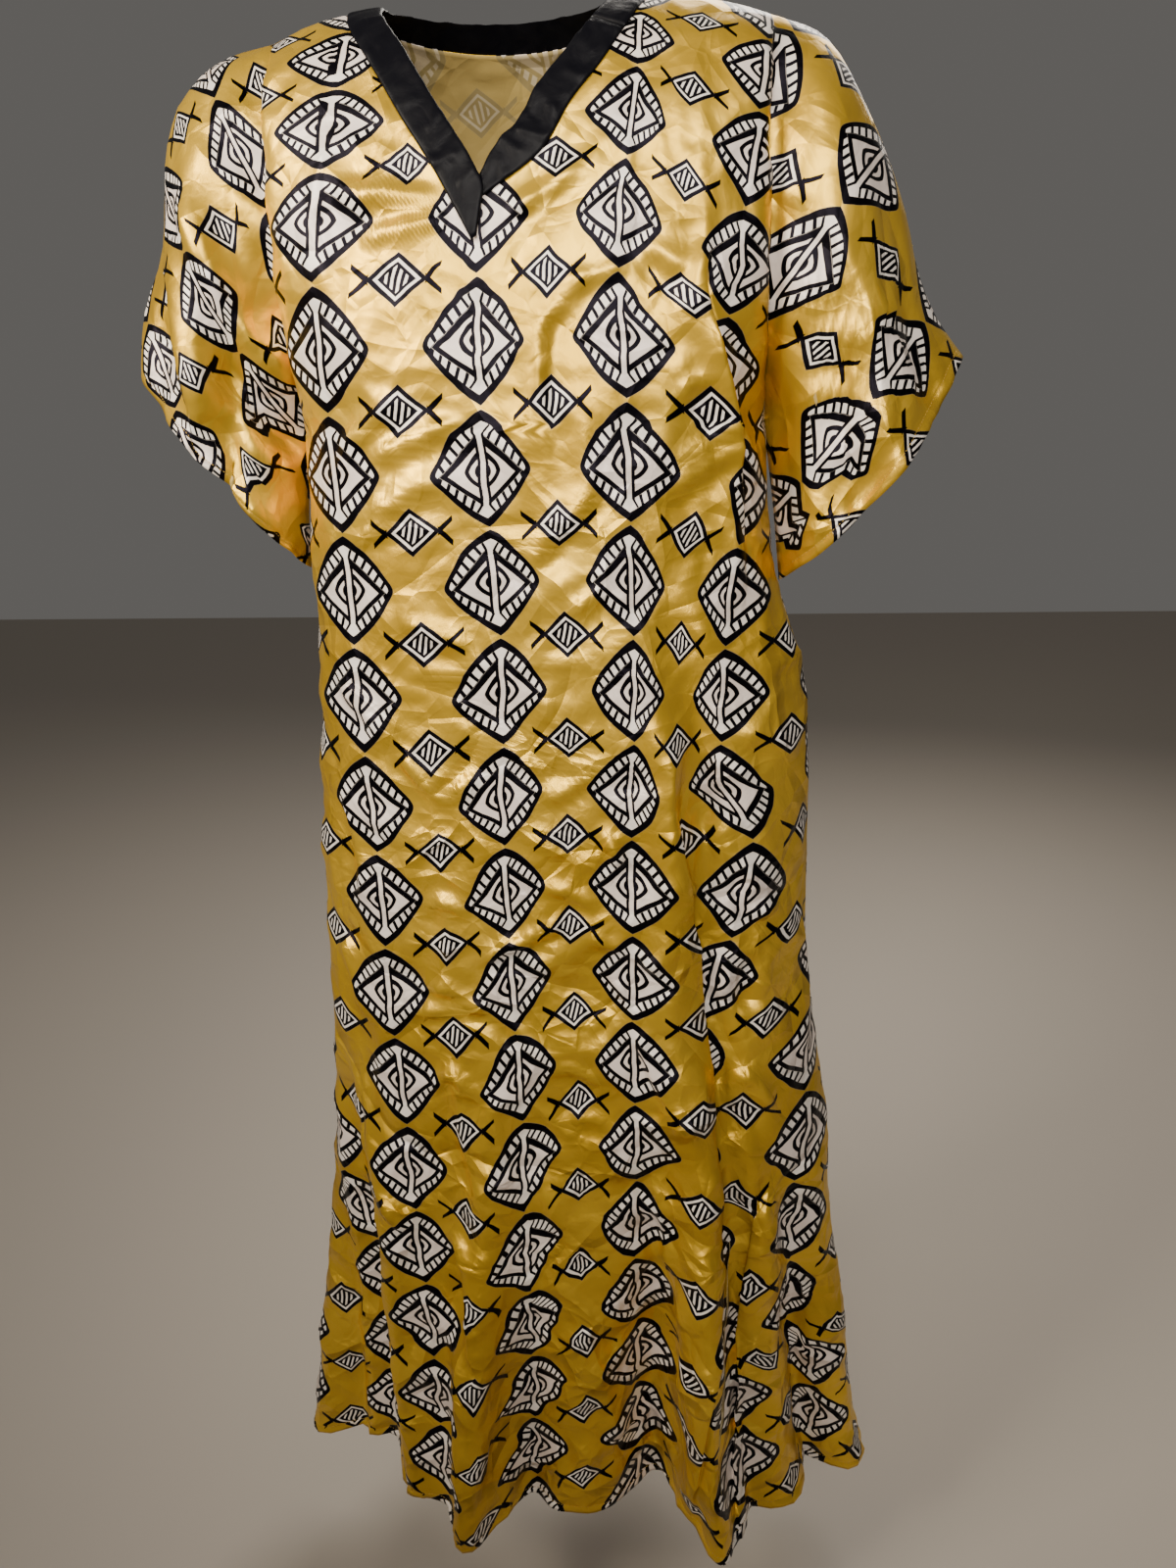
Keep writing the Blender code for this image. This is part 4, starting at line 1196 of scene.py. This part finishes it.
BACK_SLEEVE_CREASES = [Crease(*row) for row in (
    (-205, 60, -178, 110, 8, 3.0), (-240, 140, -214, 210, 9, 4.0), (-214, 210, -186, 270, 9, 4.0),
    (-270, 190, -240, 280, 8, -3.4), (-236, 290, -206, 344, 8, 3.2), (206, 70, 186, 120, 8, 3.0),
    (236, 150, 216, 216, 9, 3.8), (222, 225, 250, 205, 6, 2.8), (262, 190, 246, 262, 8, -3.2),
    (228, 310, 262, 268, 7, 3.4),
)]
BACK_MIDDLE = 0.012
BACK_TILTS = {-1: math.radians(-33), 1: math.radians(33)}


def path_lengths(points):
    """Length along a path up to each of its points."""
    return np.concatenate([[0.0], np.cumsum(np.linalg.norm(np.diff(points, axis=0), axis=1))])


def back_threads(points):
    """Places along the threads for the back's grid: true lengths from its middle line."""
    run = running(np.linalg.norm(np.diff(points, axis=1), axis=-1))
    middle = smoothed(np.array([np.interp(BACK_MIDDLE, p[:, 0], r) for p, r in zip(points, run)]))
    column = points[:, points.shape[1] // 2]
    down = np.interp(-points[..., 2], -column[:, 2], path_lengths(column))
    return np.stack([middle[:, None] - run, down], axis=-1)


back_body = body_points(1, [], BACK_CREASES)
back_charts = {
    hand: PrintAnchor(hand * 0.215, 0.19, 2, hand * 2, BACK_TILTS[hand], hand * -0.9) for hand in (-1, 1)
}
back_panel, back_stitches = sewn_panel(
    ("back_satin", "back_hem_stitches"), 1, back_body, BACK_SLEEVE_CREASES,
    back_threads(back_body), back_charts)
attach(back_panel, "root")
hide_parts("back_panel")
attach(back_stitches, "root")


# Neckband: black satin, folded double along its inner edge and sewn to the neckline. The
# long strip starts in the lapped point of the V, goes up the viewer's left and round the
# back to a join on the right, and the short one goes from there down under the point.
BAND_WALL = 0.0016
BAND_WIDTH = 0.024
BAND_STEP = 0.0022
BAND_ROWS = 18
BAND_OVER = 0.0009
POINT_STEP = 0.052
POINT_ROWS = 3
POINT_TAPER = 0.026
POINT_TIP = 0.003
LAP_LENGTH = 0.052
LAP_LIFT = 0.0024
LIFT_LENGTH = 0.024
JOIN_SHARE = 0.72
SHORT_END_WIDTH = 0.005
SHORT_TAPER = 0.050
END_ROUNDING = 0.0022
PROBE = 0.004
NORMAL_ROUNDS = 3
CORNER_STEP = 0.001
EDGE_ROUNDS = 4
BAND_SQUARENESS = 9
BAND_WOBBLE = 0.0007
BAND_CRUMPLE = 0.0005
BAND_CRUMPLE_SIZE = 0.016
BAND_CLEAR = 0.0002
BLACK = (0.004, 0.004, 0.006, 1)
# A lighter, bluer black, painted on the raised rumples of the band as sheen
BLACK_PAINTED_SHEEN = (0.008, 0.008, 0.010, 1)
BLACK_PITCH = 0.00045

# Soft creases across the strips: place along from the strip's start, how far it leans on its
# way to the inner edge, half width and height, all in millimetres, and where it fades out
BandCrease = namedtuple("BandCrease", "along lean half_width height first last")
LONG_CREASES = [BandCrease(*row) for row in (
    (34, 7, 3.0, 1.1, 0.2, 1.2), (52, -5, 3.4, 1.5, -0.2, 0.9), (60, 6, 2.6, -0.9, 0.1, 1.2),
    (76, 9, 3.2, 0.9, 0.3, 1.2), (98, -6, 4.0, 1.0, -0.2, 0.8), (121, 8, 3.4, 0.8, 0.4, 1.2),
    (150, 10, 4.4, 1.1, -0.2, 0.9), (178, -8, 4.0, 0.9, 0.2, 1.2), (205, 8, 3.6, 1.3, -0.2, 1.2),
    (216, 4, 3.0, -0.9, 0.0, 1.2), (250, -9, 4.6, 0.8, -0.2, 0.9), (296, 7, 4.8, 0.9, 0.2, 1.2),
    (344, -6, 4.4, 0.8, -0.2, 1.2), (392, 8, 4.6, 0.9, 0.1, 1.2), (431, 6, 3.6, 1.1, -0.2, 1.2),
    (452, -5, 3.2, 0.9, 0.0, 1.2),
)]
SHORT_CREASES = [BandCrease(*row) for row in (
    (7, 3, 2.6, 1.2, -0.2, 1.2), (26, -7, 3.6, 0.9, 0.1, 1.2), (48, 6, 3.4, 0.8, -0.2, 0.9),
    (71, -9, 3.8, 1.3, 0.0, 1.2), (84, -11, 3.0, -1.0, 0.1, 1.2), (96, 12, 4.4, 1.5, -0.2, 1.0),
    (113, 8, 3.6, 1.3, 0.1, 1.2), (126, -4, 3.0, 0.8, -0.2, 0.8),
)]


def resampled(rows, lengths, wanted):
    """The columns of a path's rows, read at these lengths along it."""
    return np.stack([np.interp(wanted, lengths, rows[:, k]) for k in range(rows.shape[1])], axis=-1)


def neck_route():
    """Neckline from the notch up the left front, round the back and down the right front:
    the panels' own points there, and the outward direction of the cloth at each."""
    first, notch, last = COLUMNS[0], sum(COLUMNS[:2]), sum(COLUMNS[:3])
    stretches = [
        (-1, panel_top(-1)[first:notch + 1][::-1]),
        (1, panel_top(1)[first:last + 1]),
        (-1, panel_top(-1)[notch:last + 1][::-1]),
    ]
    points, normals = [], []
    for side, places in stretches:
        x, step = places[:, 0], places[:, 1]
        lower = yoke_points(side, x, step + PROBE)
        beside = yoke_points(side, x + PROBE * YOKE_HALF, step)
        here = yoke_points(side, x, step)
        points.append(here)
        normals.append(normals_of(here, beside, lower, side))
    return np.concatenate(points), np.concatenate(normals), [len(p) for p in points]


def band_object(name, edge, normal, widths, lifts, creases):
    """One strip as a closed flat tube along its outer edge, rounded at its folds and ends."""
    lengths = path_lengths(edge)
    count = int(lengths[-1] / BAND_STEP)
    along = np.linspace(0.0, lengths[-1], count + 1)
    rows = resampled(np.column_stack([edge, normal, widths, lifts]), lengths, along)
    for _ in range(EDGE_ROUNDS):
        rows[1:-1] = (rows[:-2] + 2 * rows[1:-1] + rows[2:]) / 4
    edge, normal, widths, lifts = rows[:, :3], rows[:, 3:6], rows[:, 6], rows[:, 7]
    normal = normal / np.linalg.norm(normal, axis=1, keepdims=True)
    inwards = np.cross(np.gradient(edge, axis=0), normal)
    inwards /= np.linalg.norm(inwards, axis=1, keepdims=True)
    wobble = np.array([noise.noise((0.11 * s * 1000, 0.3, len(creases))) for s in along])
    widths = widths + BAND_WOBBLE * wobble

    turn = np.linspace(0.0, np.pi, BAND_ROWS + 1)
    share = (1 - np.cos(turn)) / 2
    top = BAND_WALL * np.sqrt(np.clip(1 - np.abs(2 * share - 1) ** BAND_SQUARENESS, 0, 1))
    shares = np.concatenate([share, share[-2:0:-3]])
    heights = np.concatenate([top, np.zeros(len(shares) - len(share))])
    end = np.minimum(along, lengths[-1] - along)
    rounding = np.sqrt(np.clip(1 - (1 - np.clip(end / END_ROUNDING, 0, 1)) ** 2, 0.02, 1))
    height = heights[None] * rounding[:, None]
    for crease in creases:
        off = along[:, None] * 1000 - crease.along - crease.lean * (shares[None] - 0.5)
        window = ease((shares - crease.first) / 0.3) * ease((crease.last - shares) / 0.3)
        height = height + crease.height / 1000 * window * np.exp(-(off / crease.half_width) ** 2)
    flat = edge[:, None] + inwards[:, None] * BAND_WIDTH * shares[None, :, None]
    on_top = heights > BAND_CLEAR
    height = height + BAND_CRUMPLE * (crumple(flat, BAND_CRUMPLE_SIZE, 4.0) - CRUMPLE_MEAN) * on_top
    height = np.where(on_top, np.maximum(height, BAND_CLEAR), height * 0.6)

    across = -BAND_OVER + (widths[:, None] + BAND_OVER) * shares[None]
    points = edge[:, None] + inwards[:, None] * across[..., None]
    points = points + normal[:, None] * (height + lifts[:, None] + BAND_CLEAR)[..., None]
    index = np.arange(points.shape[0] * points.shape[1]).reshape(points.shape[:2])
    looped = np.concatenate([index, index[:, :1]], axis=1)
    faces = grid_faces(looped)
    around = np.concatenate([shares, [shares[0]]]) * BAND_WIDTH
    corners = ((0, 0), (1, 0), (1, 1), (0, 1))
    threads = [
        [(along[r + more_r], around[c + more_c]) for more_r, more_c in corners]
        for r in range(len(along) - 1) for c in range(len(around) - 1)
    ]
    caps = [tuple(index[0].tolist()), tuple(index[-1, ::-1].tolist())]
    cap_threads = np.zeros((2 * index.shape[1], 2))
    mesh = bpy.data.meshes.new(name)
    mesh.from_pydata([tuple(p) for p in points.reshape(-1, 3).tolist()], [], faces + caps)
    layer = mesh.uv_layers.new(name="threads")
    flat = np.concatenate([np.array(threads).reshape(-1, 2), cap_threads])
    layer.uv.foreach_set("vector", flat.astype(np.float32).ravel())
    shape = bmesh.new()
    shape.from_mesh(mesh)
    bmesh.ops.recalc_face_normals(shape, faces=shape.faces)
    shape.to_mesh(mesh)
    shape.free()
    mesh.shade_smooth()
    mesh.materials.append(black_satin)
    return add_object(name, mesh)


black_satin, black_shader = new_material("black_satin")
black_shader.inputs["Specular IOR Level"].default_value = 0.08
black_start = Field(black_satin.node_tree)
black_place = black_start.node("ShaderNodeTexCoord", {}, {}, output=3)
black_rumple = black_place.speckle(Scale=60.0, Detail=3.0, Distortion=0.8)
black_threads = black_start.node("ShaderNodeUVMap", {"uv_map": "threads"})
black_along, _, _ = black_threads.parts()
black_weave = (black_along * (2.0 * math.pi / BLACK_PITCH)).math("SINE")
# Painted sheen: the base colour turns lighter and bluer where the rumple noise is high, which is where the
# bump raises the satin
black_with_painted_sheen = black_start.colour(BLACK).mixed(BLACK_PAINTED_SHEEN, black_rumple.share(0.45, 0.75))
black_satin.node_tree.links.new(black_with_painted_sheen.socket, black_shader.inputs["Base Color"])
black_rough = black_rumple * 0.10 + 0.33
black_satin.node_tree.links.new(black_rough.socket, black_shader.inputs["Roughness"])
black_coarse = black_rumple.relief(0.0012, 0.6)
black_fine = black_weave.relief(0.00002, 0.4, Normal=black_coarse)
black_satin.node_tree.links.new(black_fine.socket, black_shader.inputs["Normal"])

route, route_normals, route_counts = neck_route()
route_kept = np.concatenate([[True], np.linalg.norm(np.diff(route, axis=0), axis=1) > CORNER_STEP])
route, route_normals = route[route_kept], route_normals[route_kept]
for _ in range(NORMAL_ROUNDS):
    route_normals[1:-1] = (route_normals[:-2] + 2 * route_normals[1:-1] + route_normals[2:]) / 4
route_lengths = path_lengths(route)
right_length = route_lengths[-1] - route_lengths[len(route) - route_counts[2]]
join = route_lengths[-1] - JOIN_SHARE * right_length

to_notch = (NECK_LEFT[-1].x - NECK_LEFT[-2].x) / (NECK_LEFT[-1].step - NECK_LEFT[-2].step)
reach_step = POINT_STEP * np.arange(POINT_ROWS, 0, -1) / POINT_ROWS
point_x = NECK_LEFT[-1].x + to_notch * reach_step
point = yoke_points(-1, point_x, NECK_LEFT[-1].step + reach_step)
long_rows = np.concatenate([point, route])
long_rows = np.column_stack([
    long_rows,
    np.concatenate([np.repeat(route_normals[:1], POINT_ROWS, axis=0), route_normals]),
])
from_tip = path_lengths(long_rows[:, :3])
long_end = from_tip[POINT_ROWS] + join - SEAM_GAP / 2
long_wanted = np.linspace(0.0, long_end, int(long_end / BAND_STEP) + 1)
long_rows = resampled(long_rows, from_tip, long_wanted)
long_widths = POINT_TIP + (BAND_WIDTH - POINT_TIP) * np.clip(long_wanted / POINT_TAPER, 0.0, 1.0)
long_lifts = LAP_LIFT * (1 - ease((long_wanted - LAP_LENGTH) / LIFT_LENGTH))
neckband_long = band_object(
    "neckband_long_satin", long_rows[:, :3], long_rows[:, 3:], long_widths, long_lifts, LONG_CREASES)

short_start = join + SEAM_GAP / 2
short_wanted = np.linspace(short_start, route_lengths[-2], int(right_length / BAND_STEP) + 1)
short_rows = resampled(np.column_stack([route, route_normals]), route_lengths, short_wanted)
to_end = short_wanted[-1] - short_wanted
short_widths = SHORT_END_WIDTH + (BAND_WIDTH - SHORT_END_WIDTH) * ease(to_end / SHORT_TAPER)
neckband_short = band_object(
    "neckband_short_satin", short_rows[:, :3], short_rows[:, 3:], short_widths,
    np.zeros(len(to_end)), SHORT_CREASES)
for band, node in ((neckband_long, "neckband_long"), (neckband_short, "neckband_short")):
    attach(band, "root")
    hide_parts(node)
